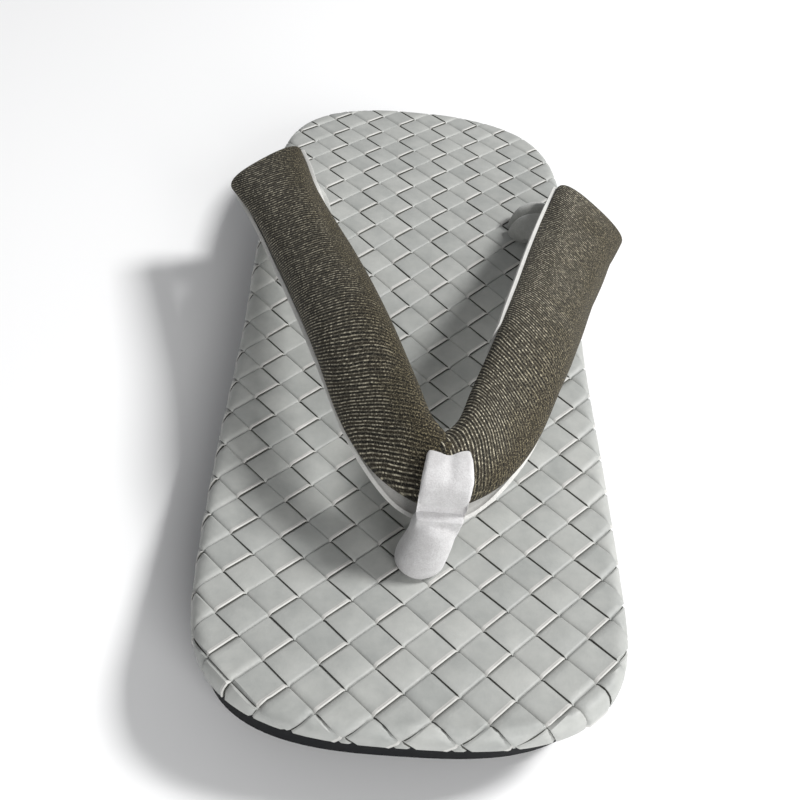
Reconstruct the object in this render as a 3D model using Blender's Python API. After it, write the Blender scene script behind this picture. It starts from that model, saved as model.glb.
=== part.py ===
"""Zori sandal: a wedge sole, a woven leather footbed and two padded straps held by a suede thong.

Units are metres. The toe points along -Y, the heel along +Y, and +X is to the right of someone who
faces the toe. The sole stands on z = 0 and the origin lies under the middle of the outline.
"""

import math
from collections import namedtuple

import bmesh
import bpy
from mathutils import Matrix, Vector

# Whole sandal
LENGTH = 0.264
BALL_WIDTH = 0.1068
BALL_HEIGHT = 0.0171
HEEL_HEIGHT = 0.0266
TOE_SPRING = 0.0071
GAP = 0.0003
WELD = 0.00003

# Ends of the outline: a superellipse over this much of the length
TOE_REACH = 0.045
TOE_FULLNESS = 3.0
TOE_FLATNESS = 0.36
HEEL_REACH = 0.075
HEEL_FULLNESS = 4.35
HEEL_FLATNESS = 0.415
END_STEPS = 10
SIDE_STEPS = 9

# Woven footbed
FOOTBED_THICKNESS = 0.0050
FOOTBED_TUCK = 0.0008
RIM_RADIUS = 0.0030
RIM_STEPS = 4
STRIP_WIDTH = 0.00868
STRIP_RELIEF = 0.0009
STRIP_DIVE = 0.00055
STRIP_GROOVE = 0.00045
WEAVE_SIDE_SHIFT = 0.00405
WEAVE_TOE_SHIFT = 0.0168
WEAVE_SPARE_ROWS = 6
BEND_STEPS = 12

# Wedge sole
SOLE_SETBACK = 0.0015
SOLE_DRAFT = math.radians(12.0)
SOLE_EDGE_RADIUS = 0.0025
SOLE_EDGE_STEPS = 3
TOE_BEVEL_REACH = 0.060
TOE_BEVEL_RISE = 0.0080

# Straps
STRAP_RISE = 0.0285
STRAP_WIDTH = 0.0226
STRAP_THICKNESS = 0.0092
STRAP_CORNER = 0.0030
STRAP_CORNER_STEPS = 3
STRAP_END_SQUEEZE = 0.36
STRAP_ROUNDNESS = 2.5
STRAP_BELLY = 0.40
STRAP_SIDES = 16
STRAP_STEPS = 18
STRAP_LEAN = 0.0042
LINING_THICKNESS = 0.0011
LINING_FLANGE = 0.0031

# Front thong
THONG_BACK = 0.0485
THONG_SHIFT = 0.0024
THONG_FOOT_WIDTH = 0.0146
THONG_FOOT_DEPTH = 0.0130
THONG_STRIP_WIDTH = 0.0116
THONG_STRIP = 0.0024
THONG_NECK_LEAN = 0.0014
THONG_TOP_LEAN = 0.0030
THONG_TOP = 0.0061
THONG_HOLE_RADIUS = 0.0055
THONG_LOOP_STEPS = 28

# Rear tails
TAIL_BACK = 0.1880
TAIL_SPREAD = 0.0370
TAIL_WIDTH = 0.0130
TAIL_THICKNESS = 0.0070
TAIL_HOLE_RADIUS = 0.0052
ROUND_SIDES = 24

# Outline before its ends are rounded: the place along the length and the share of the ball width
Side = namedtuple("Side", "at width")
SIDES = [
    Side(0.00, 0.970),
    Side(0.12, 0.966),
    Side(0.17, 0.978),
    Side(0.23, 0.993),
    Side(0.34, 1.000),
    Side(0.50, 0.988),
    Side(0.62, 0.994),
    Side(0.75, 0.976),
    Side(0.86, 0.966),
    Side(1.00, 0.963),
]

# Height of the footbed: the share of the climb from ball to heel and of the toe spring
Level = namedtuple("Level", "at climb spring")
LEVELS = [
    Level(0.000, 0.00, 1.00),
    Level(0.110, 0.00, 0.54),
    Level(0.220, 0.00, 0.11),
    Level(0.330, 0.02, 0.00),
    Level(0.485, 0.21, 0.00),
    Level(0.675, 0.86, 0.00),
    Level(0.825, 1.04, 0.00),
    Level(1.000, 0.99, 0.00),
]

# Run of a strap from the thong to its rear end. back is a share of the length, spread of half the
# ball width, rise of the strap's rise over the footbed, lean of the sideways lean. turn and tilt
# are the angles of its width: turned towards the toe, and down towards its outer edge.
Station = namedtuple("Station", "at back spread rise lean turn tilt width thick flange")
STATIONS = [
    Station(0.00, 0.2195, -0.020, 0.816, 1.00, 62.0, 66.0, 0.86, 0.92, 1.00),
    Station(0.06, 0.2280, 0.075, 0.832, 1.00, 48.0, 62.0, 0.89, 0.96, 0.95),
    Station(0.13, 0.2475, 0.185, 0.890, 1.00, 24.0, 50.0, 0.94, 1.00, 0.35),
    Station(0.22, 0.288, 0.290, 0.960, 1.00, 18.0, 35.0, 1.00, 1.00, 0.00),
    Station(0.36, 0.368, 0.430, 1.000, 1.00, 18.0, 30.0, 1.00, 1.00, 0.00),
    Station(0.52, 0.456, 0.560, 0.865, 0.90, 18.0, 30.0, 1.00, 1.00, 0.00),
    Station(0.68, 0.540, 0.690, 0.690, 0.65, 18.0, 30.0, 1.00, 1.00, 0.00),
    Station(0.84, 0.628, 0.855, 0.480, 0.25, 22.0, 28.0, 1.04, 1.00, 0.00),
    Station(1.00, 0.720, 1.050, 0.330, -0.05, 30.0, 26.0, 1.13, 0.72, 0.00),
]

# How far each strap's rear end lies behind its mirror place and above it
Drift = namedtuple("Drift", "side back lift")
RIGHT_STRAP = Drift(1, -0.0020, 0.0)
LEFT_STRAP = Drift(-1, 0.0020, 0.0015)

# Foot of the thong: the height over the footbed as a share of the strap's rise, the distance of its
# centre behind the hole as a share of its depth, and its half width and half depth
Waist = namedtuple("Waist", "up back wide deep")
WAISTS = [
    Waist(0.012, 0.00, 0.44, 0.44),
    Waist(0.060, 0.00, 0.50, 0.50),
    Waist(0.160, 0.03, 0.50, 0.50),
    Waist(0.280, 0.06, 0.46, 0.46),
    Waist(0.400, 0.09, 0.41, 0.42),
    Waist(0.500, 0.12, 0.39, 0.37),
    Waist(0.560, 0.15, 0.35, 0.28),
]

# Band of the thong round the straps' joint: the share of the way round, from its top over the
# front, and the share of its width
Wrap = namedtuple("Wrap", "at width")
WRAPS = [
    Wrap(0.00, 0.86),
    Wrap(0.10, 0.98),
    Wrap(0.22, 1.06),
    Wrap(0.36, 0.98),
    Wrap(0.50, 0.94),
    Wrap(0.70, 0.86),
    Wrap(0.86, 0.84),
    Wrap(1.00, 0.86),
]

# Run of a tail from under its strap to its hole: the distance outside the hole as a share of the
# tail's width, the height over the footbed as a share of its thickness, and its section
Bend = namedtuple("Bend", "out up wide thick")
BENDS = [
    Bend(1.28, 0.36, 0.70, 0.42),
    Bend(1.05, 0.42, 0.86, 0.60),
    Bend(0.72, 0.58, 1.00, 0.90),
    Bend(0.34, 0.64, 1.02, 1.06),
    Bend(0.08, 0.44, 0.94, 1.10),
    Bend(0.00, 0.04, 0.78, 1.16),
    Bend(0.00, -0.28, 0.70, 1.20),
    Bend(0.00, -0.60, 0.68, 1.20),
]


def clear_scene():
    for thing in list(bpy.data.objects):
        bpy.data.objects.remove(thing, do_unlink=True)


def blend(rows, column, place):
    """Value of a table's column at a place, on a smooth curve through the rows."""
    places = [row.at for row in rows]
    values = [getattr(row, column) for row in rows]
    last = len(rows) - 1
    place = min(max(place, places[0]), places[-1])
    low = 0
    while low < last - 1 and place > places[low + 1]:
        low += 1
    slopes = []
    for i in (low, low + 1):
        before, after = max(i - 1, 0), min(i + 1, last)
        slopes.append((values[after] - values[before]) / (places[after] - places[before]))
    span = places[low + 1] - places[low]
    t = (place - places[low]) / span
    start = values[low] * (2 * t**3 - 3 * t**2 + 1) + slopes[0] * span * (t**3 - 2 * t**2 + t)
    end = values[low + 1] * (3 * t**2 - 2 * t**3) + slopes[1] * span * (t**3 - t**2)
    return start + end


def footbed_top(back):
    """Height of the footbed's face at a distance behind the toe."""
    place = back / LENGTH
    climb = (HEEL_HEIGHT - BALL_HEIGHT) * blend(LEVELS, "climb", place)
    return BALL_HEIGHT + climb + TOE_SPRING * blend(LEVELS, "spring", place)


def sole_bottom(back):
    """Height of the sole's underside, which lifts off the floor towards the toe."""
    return TOE_BEVEL_RISE * max(0.0, 1.0 - back / TOE_BEVEL_REACH) ** 2


def row_y(back):
    return back - LENGTH / 2


def end_share(distance, reach, fullness, flatness):
    if distance >= reach:
        return 1.0
    return (1.0 - (1.0 - distance / reach) ** fullness) ** flatness


def half_width(back):
    toe = end_share(back, TOE_REACH, TOE_FULLNESS, TOE_FLATNESS)
    heel = end_share(LENGTH - back, HEEL_REACH, HEEL_FULLNESS, HEEL_FLATNESS)
    return BALL_WIDTH / 2 * blend(SIDES, "width", back / LENGTH) * toe * heel


def outline_backs():
    """Distances behind the toe of the outline's points, close together at both ends."""
    turns = [math.radians(90.0 * i / END_STEPS) for i in range(END_STEPS + 1)]
    toe = [TOE_REACH * (1.0 - math.cos(turn)) for turn in turns]
    heel = [LENGTH - HEEL_REACH * (1.0 - math.cos(turn)) for turn in reversed(turns)]
    middle = heel[0] - toe[-1]
    sides = [toe[-1] + middle * i / SIDE_STEPS for i in range(1, SIDE_STEPS)]
    return toe + sides + heel


def side_points(inset):
    """(x, back) of one side's points, moved inwards by inset, which may depend on the place."""
    backs = outline_backs()
    points = [Vector((half_width(back), back)) for back in backs]
    points[0].x = 0.0
    points[-1].x = 0.0
    last = len(points) - 1
    moved = []
    for i, point in enumerate(points):
        before = points[i - 1] if i > 0 else Vector((-points[1].x, points[1].y))
        after = points[i + 1] if i < last else Vector((-points[-2].x, points[-2].y))
        run = (after - before).normalized()
        moved.append(point + inset(point.y) * Vector((-run.y, run.x)))
    return moved


def ring_body(rings):
    """Closed body from rings, top to bottom, each an inset and a height as functions of the place."""
    bm = bmesh.new()
    loops = []
    for inset, height in rings:
        side = side_points(inset)
        right = [bm.verts.new((x, row_y(back), height(back))) for x, back in side]
        left = [bm.verts.new((-x, row_y(back), height(back))) for x, back in side[1:-1]]
        loops.append(right + left[::-1])
    count = len(loops[0])
    for upper, lower in zip(loops, loops[1:]):
        for i in range(count):
            j = (i + 1) % count
            bm.faces.new((upper[i], upper[j], lower[j], lower[i]))
    for loop in (loops[0], loops[-1]):
        for i in range(count // 2):
            corners = [loop[i], loop[i + 1], loop[count - i - 1], loop[(count - i) % count]]
            bm.faces.new(list(dict.fromkeys(corners)))
    bmesh.ops.recalc_face_normals(bm, faces=bm.faces)
    return bm


def make_material(name, colour, roughness):
    material = bpy.data.materials.new(name)
    material.use_nodes = True
    shader = material.node_tree.nodes["Principled BSDF"]
    shader.inputs["Base Color"].default_value = (*colour, 1.0)
    shader.inputs["Roughness"].default_value = roughness
    shader.inputs["Metallic"].default_value = 0.0
    material.diffuse_color = (*colour, 1.0)
    return material


def add_object(name, bm, material=None):
    mesh = bpy.data.meshes.new(name)
    bm.to_mesh(mesh)
    bm.free()
    thing = bpy.data.objects.new(name, mesh)
    bpy.context.scene.collection.objects.link(thing)
    if material:
        mesh.materials.append(material)
        mesh.shade_smooth()
        mesh.set_sharp_from_angle(angle=math.radians(40.0))
    return thing


def add_helper(name, bm):
    """A cutter or one half of a union, which isn't a piece of the sandal."""
    thing = add_object(name, bm)
    thing.hide_render = True
    thing.display_type = "WIRE"
    return thing


def add_boolean(thing, other, operation):
    modifier = thing.modifiers.new(operation.title(), "BOOLEAN")
    modifier.operation = operation
    modifier.solver = "EXACT"
    modifier.object = other


def evaluated_bmesh(thing):
    """The object's mesh with its modifiers, as a new bmesh."""
    graph = bpy.context.evaluated_depsgraph_get()
    bm = bmesh.new()
    bm.from_object(thing, graph)
    return bm


def settled(bm):
    """The mesh without the slivers and loose crumbs that Booleans leave."""
    bmesh.ops.remove_doubles(bm, verts=bm.verts, dist=WELD)
    bmesh.ops.dissolve_degenerate(bm, edges=bm.edges, dist=WELD)
    islands = []
    seen = set()
    for start in bm.verts:
        if start in seen:
            continue
        island = {start}
        ahead = [start]
        while ahead:
            for edge in ahead.pop().link_edges:
                fresh = set(edge.verts) - island
                island |= fresh
                ahead.extend(fresh)
        seen |= island
        islands.append(island)
    islands.sort(key=len)
    crumbs = [vert for island in islands[:-1] for vert in island]
    bmesh.ops.delete(bm, geom=crumbs, context="VERTS")
    return bm


def drop_helpers(*things):
    for thing in things:
        bpy.data.objects.remove(thing, do_unlink=True)


def sole_inset(drop):
    """Inset of the sole's wall at a share of its thickness below its top."""
    def inset(back):
        thickness = footbed_top(back) - FOOTBED_THICKNESS - sole_bottom(back)
        return SOLE_SETBACK + math.tan(SOLE_DRAFT) * thickness * drop
    return inset


def build_outsole():
    def top(back):
        return footbed_top(back) - FOOTBED_THICKNESS - GAP

    rings = [(sole_inset(0.0), top)]
    for i in range(SOLE_EDGE_STEPS + 1):
        turn = math.radians(90.0 * i / SOLE_EDGE_STEPS)
        inward = SOLE_EDGE_RADIUS * (1.0 - math.cos(turn))
        up = SOLE_EDGE_RADIUS * (1.0 - math.sin(turn))
        rings.append((
            lambda back, inward=inward: sole_inset(1.0)(back) + inward,
            lambda back, up=up: sole_bottom(back) + up,
        ))
    material = make_material("black_foam", (0.012, 0.013, 0.014), 0.62)
    return add_object("outsole", ring_body(rings), material)


def weave_sheet():
    """Open sheet of the plaited strips, each crossing raised in its middle and low at its ends."""
    half = STRIP_WIDTH / math.sqrt(2.0)
    columns = math.ceil(BALL_WIDTH / 2 / half) + 2
    rows = math.ceil(LENGTH / half) + 4
    bm = bmesh.new()
    corners = {}

    def corner(i, j):
        if (i, j) not in corners:
            x = WEAVE_SIDE_SHIFT + i * half
            back = WEAVE_TOE_SHIFT + (j - WEAVE_SPARE_ROWS) * half
            corners[i, j] = bm.verts.new((x, row_y(back), -STRIP_RELIEF))
        return corners[i, j]

    cells = []
    for i in range(-columns, columns):
        for j in range(rows):
            if (i + j) % 2:
                around = [corner(i, j - 1), corner(i + 1, j), corner(i, j + 1), corner(i - 1, j)]
                cells.append((bm.faces.new(around), i % 2))
    bm.normal_update()
    faces = [face for face, _ in cells]
    bmesh.ops.inset_individual(bm, faces=faces, thickness=STRIP_GROOVE, use_even_offset=True)
    long_edges = []
    for face, towards_toe in cells:
        for vert in face.verts:
            vert.co.z = -STRIP_DIVE
        for edge in face.edges:
            run = edge.verts[1].co - edge.verts[0].co
            if (run.x * run.y < 0.0) == bool(towards_toe):
                long_edges.append(edge)
    made = bmesh.ops.subdivide_edges(bm, edges=long_edges, cuts=1)
    for vert in made["geom_inner"]:
        if isinstance(vert, bmesh.types.BMVert):
            vert.co.z = 0.0
    return bm


def weave_slab():
    """The sheet of strips made into a slab that reaches below the footbed."""
    bm = weave_sheet()
    rim = [edge for edge in bm.edges if edge.is_boundary]
    down = bmesh.ops.extrude_edge_only(bm, edges=rim)
    lower = [item for item in down["geom"] if isinstance(item, bmesh.types.BMVert)]
    for vert in lower:
        vert.co.z = -2.0 * FOOTBED_THICKNESS
    bottom = [edge for edge in bm.edges if edge.is_boundary]
    bmesh.ops.contextual_create(bm, geom=bottom)
    bmesh.ops.recalc_face_normals(bm, faces=bm.faces)
    return bm


def rim_body():
    """Flat blank of the footbed with its rounded rim; its face clears the strips' crests."""
    rings = []
    for i in range(RIM_STEPS + 1):
        turn = math.radians(90.0 * i / RIM_STEPS)
        inward = RIM_RADIUS * (1.0 - math.sin(turn))
        down = -RIM_RADIUS * (1.0 - math.cos(turn)) + GAP
        rings.append((lambda back, inward=inward: inward, lambda back, down=down: down))
    rings.append((lambda back: 0.0, lambda back: FOOTBED_TUCK - FOOTBED_THICKNESS))
    rings.append((lambda back: FOOTBED_TUCK, lambda back: -FOOTBED_THICKNESS))
    return ring_body(rings)


def bend_to_last(bm):
    """Cuts a flat body across at regular places, then gives it the footbed's curve."""
    for i in range(1, BEND_STEPS):
        place = Vector((0.0, row_y(LENGTH * i / BEND_STEPS), 0.0))
        geometry = list(bm.verts) + list(bm.edges) + list(bm.faces)
        bmesh.ops.bisect_plane(bm, geom=geometry, dist=1e-7, plane_co=place, plane_no=(0.0, 1.0, 0.0))
    for vert in bm.verts:
        vert.co.z += footbed_top(vert.co.y + LENGTH / 2)


def round_cutter(name, x, back, radius):
    bm = bmesh.new()
    height = 4.0 * FOOTBED_THICKNESS
    bmesh.ops.create_cone(
        bm, cap_ends=True, segments=ROUND_SIDES, radius1=radius, radius2=radius, depth=height,
        matrix=Matrix.Translation((x, row_y(back), footbed_top(back))))
    return add_helper(name, bm)


def build_footbed():
    blank = add_helper("footbed_blank", rim_body())
    slab = add_helper("weave_slab", weave_slab())
    add_boolean(blank, slab, "INTERSECT")
    bm = evaluated_bmesh(blank)
    drop_helpers(blank, slab)
    bend_to_last(bm)
    material = make_material("woven_leather", (0.48, 0.48, 0.45), 0.55)
    footbed = add_object("footbed", bm, material)
    front_hole = round_cutter("thong_hole", THONG_SHIFT, THONG_BACK, THONG_HOLE_RADIUS)
    add_boolean(footbed, front_hole, "DIFFERENCE")
    for name, side in (("left_hole", -1), ("right_hole", 1)):
        rear_hole = round_cutter(name, side * TAIL_SPREAD, TAIL_BACK, TAIL_HOLE_RADIUS)
        add_boolean(footbed, rear_hole, "DIFFERENCE")
    return footbed


def strap_frame(drift, at):
    """Centre of a strap, the direction of its width towards its outer edge, and its station."""
    row = {column: blend(STATIONS, column, at) for column in Station._fields[1:]}
    back = LENGTH * row["back"] + drift.back * at
    x = drift.side * row["spread"] * BALL_WIDTH / 2 + STRAP_LEAN * row["lean"]
    z = footbed_top(back) + STRAP_RISE * row["rise"] + drift.lift * at
    turn, tilt = math.radians(row["turn"]), math.radians(row["tilt"])
    across = Vector((
        drift.side * math.cos(turn) * math.cos(tilt), -math.sin(turn) * math.cos(tilt), -math.sin(tilt)))
    return Vector((x, row_y(back), z)), across, row


def strap_places(steps):
    """Places along a strap with the inset of its section there, rounded at both ends."""
    run = LENGTH * (STATIONS[-1].back - STATIONS[0].back)
    first = []
    for i in range(STRAP_CORNER_STEPS + 1):
        turn = math.radians(90.0 * i / STRAP_CORNER_STEPS)
        first.append((STRAP_CORNER * (1.0 - math.cos(turn)) / run, STRAP_CORNER * (1.0 - math.sin(turn))))
    last = [(1.0 - at, inset) for at, inset in reversed(first)]
    start, stop = first[-1][0], last[0][0]
    middle = [(start + (stop - start) * i / steps, 0.0) for i in range(1, steps)]
    return first + middle + last


def oval_section(half, top, bottom, roundness):
    """(across, up) points of a strap's section, anticlockwise, flatter below than above."""
    points = []
    for i in range(STRAP_SIDES):
        turn = 2.0 * math.pi * i / STRAP_SIDES
        across, up = math.cos(turn), math.sin(turn)
        across = math.copysign(abs(across) ** (2.0 / roundness), across)
        up = math.copysign(abs(up) ** (2.0 / roundness), up)
        points.append((half * across, (top if up > 0.0 else bottom) * up))
    return points


def loft(sections):
    """Closed body through closed rings of points, capped at both ends."""
    bm = bmesh.new()
    loops = [[bm.verts.new(point) for point in section] for section in sections]
    count = len(loops[0])
    for first, second in zip(loops, loops[1:]):
        for i in range(count):
            j = (i + 1) % count
            bm.faces.new((first[i], first[j], second[j], second[i]))
    for loop in (loops[0], loops[-1]):
        bm.faces.new(loop)
    bmesh.ops.recalc_face_normals(bm, faces=bm.faces)
    return bm


def strap_body(drift, section_of, beyond=0.0, steps=STRAP_STEPS):
    """One strap's body, made beyond longer at each end; section_of gives each place's section."""
    places = strap_places(steps)
    sections = []
    for i, (at, shrink) in enumerate(places):
        centre, across, row = strap_frame(drift, at)
        ahead = strap_frame(drift, min(at + 0.01, 1.0))[0]
        behind = strap_frame(drift, max(at - 0.01, 0.0))[0]
        run = (ahead - behind).normalized()
        across = (across - across.dot(run) * run).normalized()
        up = run.cross(across) * -drift.side
        if i == 0:
            centre = centre - run * beyond
        if i == len(places) - 1:
            centre = centre + run * beyond
        sections.append([centre + across * u + up * v for u, v in section_of(row, shrink)])
    return loft(sections)


def pad_section(row, shrink, grow=0.0):
    half = STRAP_WIDTH / 2 * row["width"] - shrink + grow
    height = STRAP_THICKNESS * row["thick"]
    squeeze = 1.0 - STRAP_END_SQUEEZE * shrink / STRAP_CORNER
    top = height * (1.0 - STRAP_BELLY) * squeeze + grow
    bottom = height * STRAP_BELLY * squeeze + grow
    return oval_section(half, top, bottom, STRAP_ROUNDNESS)


def pad_room_section(row, shrink):
    """The pad's section, grown by the gap that the lining keeps from it."""
    return pad_section(row, shrink, GAP)


def lining_section(row, shrink):
    """Outer curve of the suede under the pad, closed straight across; the pad's room is cut out of it."""
    reach = STRAP_WIDTH / 2 * row["width"] - shrink + GAP + LINING_THICKNESS
    depth = STRAP_THICKNESS * row["thick"] * STRAP_BELLY + GAP + LINING_THICKNESS
    wing = LINING_FLANGE * row["flange"]
    steps = STRAP_SIDES // 2
    points = []
    for i in range(steps + 1):
        turn = math.pi + math.pi * i / steps
        across = math.copysign(abs(math.cos(turn)) ** (2.0 / STRAP_ROUNDNESS), math.cos(turn))
        up = -abs(math.sin(turn)) ** (2.0 / STRAP_ROUNDNESS)
        points.append((reach * across + wing * max(0.0, across) ** 3, depth * up - GAP))
    return points


def trim_at_joint(bm, drift, overlap):
    """Cuts a strap's body square, overlap past the plane where the two straps meet."""
    place = Vector((STRAP_LEAN - drift.side * overlap, 0.0, 0.0))
    geometry = list(bm.verts) + list(bm.edges) + list(bm.faces)
    bmesh.ops.bisect_plane(
        bm, geom=geometry, dist=1e-7, plane_co=place, plane_no=(-drift.side, 0.0, 0.0), clear_outer=True)
    bmesh.ops.holes_fill(bm, edges=[edge for edge in bm.edges if edge.is_boundary], sides=0)
    return bm


def join_bodies(name, right, left, material=None):
    """One object made of two overlapping bodies."""
    thing = add_helper(name + "_right", right)
    other = add_helper(name + "_left", left)
    add_boolean(thing, other, "UNION")
    bm = evaluated_bmesh(thing)
    drop_helpers(thing, other)
    return add_object(name, bm, material) if material else add_helper(name, bm)


def build_strap():
    material = make_material("twill_fabric", (0.055, 0.045, 0.030), 0.85)
    right, left = (strap_body(drift, pad_section) for drift in (RIGHT_STRAP, LEFT_STRAP))
    return join_bodies("strap", right, left, material)


def build_lining():
    """The suede under both straps, hollowed to a gap from their pads and slotted for the thong."""
    right, left = (
        trim_at_joint(strap_body(drift, lining_section), drift, GAP) for drift in (RIGHT_STRAP, LEFT_STRAP))
    blank = join_bodies("lining_blank", right, left)
    right, left = (
        strap_body(drift, pad_room_section, 2.0 * GAP, STRAP_STEPS + 1) for drift in (RIGHT_STRAP, LEFT_STRAP))
    room = join_bodies("pad_room", right, left)
    add_boolean(blank, room, "DIFFERENCE")
    hollow = add_helper("lining_hollow", settled(evaluated_bmesh(blank)))
    drop_helpers(blank, room)
    cut_with_thong(hollow)
    material = make_material("suede_lining", (0.56, 0.55, 0.53), 0.95)
    lining = add_object("strap_lining", settled(evaluated_bmesh(hollow)), material)
    drop_helpers(hollow)
    return lining


def joint_frame():
    """Centre of the straps' joint and the directions up along it and out of its front."""
    right, left = strap_frame(RIGHT_STRAP, 0.0), strap_frame(LEFT_STRAP, 0.0)
    centre = (right[0] + left[0]) / 2
    down = (right[1] + left[1]) / 2
    down.x = 0.0
    upward = -down.normalized()
    front = Vector((0.0, -upward.z, upward.y))
    return centre, upward, front


def thong_foot(grow):
    """Stem in the hole and the bulging foot above it, up to the fold under the straps."""
    radius = THONG_HOLE_RADIUS - GAP
    levels = [(GAP - FOOTBED_THICKNESS, 0.0, 0.0, radius, radius), (0.0, 0.0, 0.0, radius, radius)]
    for row in WAISTS:
        lean = THONG_NECK_LEAN * row.up / WAISTS[-1].up
        levels.append((
            STRAP_RISE * row.up, THONG_FOOT_DEPTH * row.back, lean,
            THONG_FOOT_WIDTH * row.wide, THONG_FOOT_DEPTH * row.deep))
    sections = []
    for up, back, lean, wide, deep in levels:
        ring = []
        for i in range(ROUND_SIDES):
            turn = 2.0 * math.pi * i / ROUND_SIDES
            x = THONG_SHIFT + lean + (wide + grow) * math.cos(turn)
            place = THONG_BACK + back + (deep + grow) * math.sin(turn)
            ring.append(Vector((x, row_y(place), footbed_top(place) + up)))
        sections.append(ring)
    return loft(sections)


def thong_loop(grow):
    """Flat band round the front of the straps' joint, a closed ring that leans with the joint."""
    centre, upward, front = joint_frame()
    clear = LINING_THICKNESS + 5.0 * GAP + THONG_STRIP / 2
    low = STRAP_WIDTH / 2 * STATIONS[0].width + LINING_FLANGE + clear
    height = STRAP_THICKNESS * STATIONS[0].thick
    deep_front = height * (1.0 - STRAP_BELLY) + 5.0 * GAP + THONG_STRIP / 2
    deep_rear = height * STRAP_BELLY + clear
    bm = bmesh.new()
    loops = []
    for i in range(THONG_LOOP_STEPS):
        share = i / THONG_LOOP_STEPS
        turn = 2.0 * math.pi * share
        rise = math.cos(turn) * (THONG_TOP if math.cos(turn) > 0.0 else low)
        out = math.sin(turn) * (deep_front if math.sin(turn) > 0.0 else deep_rear)
        lean = THONG_NECK_LEAN + (THONG_TOP_LEAN - THONG_NECK_LEAN) * (rise + low) / (THONG_TOP + low)
        normal = (upward * rise / THONG_TOP**2 + front * out / deep_front**2).normalized()
        middle = centre + upward * rise + front * out
        middle.x = THONG_SHIFT + lean
        half = THONG_STRIP_WIDTH / 2 * blend(WRAPS, "width", share) + grow
        thick = THONG_STRIP / 2 + grow
        bevel = THONG_STRIP / 4
        ring = []
        for across, off in ((1, -1), (1, 1), (-1, 1), (-1, -1)):
            corner = middle + Vector((across * half, 0.0, 0.0)) + normal * off * thick
            inward = Vector((-across * bevel, 0.0, 0.0))
            ends = [corner + inward, corner - normal * off * bevel]
            ring.extend(bm.verts.new(place) for place in (ends if across * off < 0 else ends[::-1]))
        loops.append(ring)
    for i, first in enumerate(loops):
        second = loops[(i + 1) % len(loops)]
        for j in range(len(first)):
            k = (j + 1) % len(first)
            bm.faces.new((first[j], first[k], second[k], second[j]))
    bmesh.ops.recalc_face_normals(bm, faces=bm.faces)
    return bm


def cut_with_thong(thing):
    """Slots of a piece for the thong's band and foot, a gap wider than they are."""
    loop = add_helper(thing.name + "_slot", thong_loop(GAP))
    foot = add_helper(thing.name + "_foot_slot", thong_foot(GAP))
    add_boolean(thing, loop, "DIFFERENCE")
    add_boolean(thing, foot, "DIFFERENCE")


def build_thong():
    foot = add_helper("thong_foot", thong_foot(0.0))
    loop = add_helper("thong_loop", thong_loop(0.0))
    add_boolean(loop, foot, "UNION")
    bm = evaluated_bmesh(loop)
    drop_helpers(foot, loop)
    return add_object("front_thong", bm, make_material("suede_thong", (0.66, 0.65, 0.65), 0.95))


def build_tail(name, side, material):
    """Rolled suede end that comes out from under a strap and goes down into the footbed."""
    points = [Vector((TAIL_SPREAD + TAIL_WIDTH * row.out, 0.0, TAIL_THICKNESS * row.up)) for row in BENDS]
    sections = []
    for i, (point, row) in enumerate(zip(points, BENDS)):
        run = (points[min(i + 1, len(points) - 1)] - points[max(i - 1, 0)]).normalized()
        across = Vector((0.0, 1.0, 0.0))
        up = run.cross(across)
        ring = []
        for j in range(ROUND_SIDES):
            turn = 2.0 * math.pi * j / ROUND_SIDES
            place = point + across * (TAIL_WIDTH / 2 * row.wide * math.cos(turn))
            place = place + up * (TAIL_THICKNESS / 2 * row.thick * math.sin(turn))
            back = TAIL_BACK + place.y
            ring.append(Vector((side * place.x, row_y(back), footbed_top(back) + place.z)))
        sections.append(ring)
    return add_object(name, loft(sections), material)


def main():
    clear_scene()
    build_outsole()
    build_footbed()
    cut_with_thong(build_strap())
    build_lining()
    build_thong()
    suede = make_material("suede_tail", (0.50, 0.50, 0.49), 0.95)
    build_tail("left_tail", -1, suede)
    build_tail("right_tail", 1, suede)


main()
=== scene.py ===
"""Looks of a zori sandal: plaited leather footbed, padded twill straps, suede thong and foam sole.

Everything is in metres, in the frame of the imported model: the toe points along -Y, the heel along
+Y, +X is to the right of someone who faces the toe, and the sole stands on z = 0.
"""

import logging
import math
import random
from collections.abc import Callable, Sequence
from dataclasses import dataclass, field
from enum import Enum
from typing import Any, NamedTuple

import bmesh
import bpy
from mathutils import Matrix, Vector
from mathutils.kdtree import KDTree


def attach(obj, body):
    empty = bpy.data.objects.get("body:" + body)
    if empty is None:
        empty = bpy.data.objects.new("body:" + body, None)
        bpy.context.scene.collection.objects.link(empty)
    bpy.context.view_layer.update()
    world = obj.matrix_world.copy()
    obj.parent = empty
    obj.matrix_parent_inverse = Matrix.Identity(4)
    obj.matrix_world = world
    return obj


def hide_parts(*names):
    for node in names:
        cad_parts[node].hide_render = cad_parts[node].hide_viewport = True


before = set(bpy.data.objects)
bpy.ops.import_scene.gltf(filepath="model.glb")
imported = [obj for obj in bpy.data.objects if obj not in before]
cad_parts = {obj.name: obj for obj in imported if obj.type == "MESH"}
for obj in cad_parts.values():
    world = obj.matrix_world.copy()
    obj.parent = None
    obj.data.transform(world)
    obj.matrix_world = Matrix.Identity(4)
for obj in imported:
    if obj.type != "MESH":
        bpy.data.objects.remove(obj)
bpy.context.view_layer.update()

MM = 0.001
WELD = 1e-6
MERGE = 0.01 * MM
SHARP_ANGLE = math.radians(50.0)
BODY = "root"
UV_NAME = "cloth"
TONE_NAME = "tone"

log = logging.getLogger("sandal")


class Side(NamedTuple):
    """Share of the ball width at a share of the length, before the ends are rounded."""

    at: float
    width: float


class Level(NamedTuple):
    """Shares of the climb from ball to heel and of the toe spring at a share of the length."""

    at: float
    climb: float
    spring: float


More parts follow.
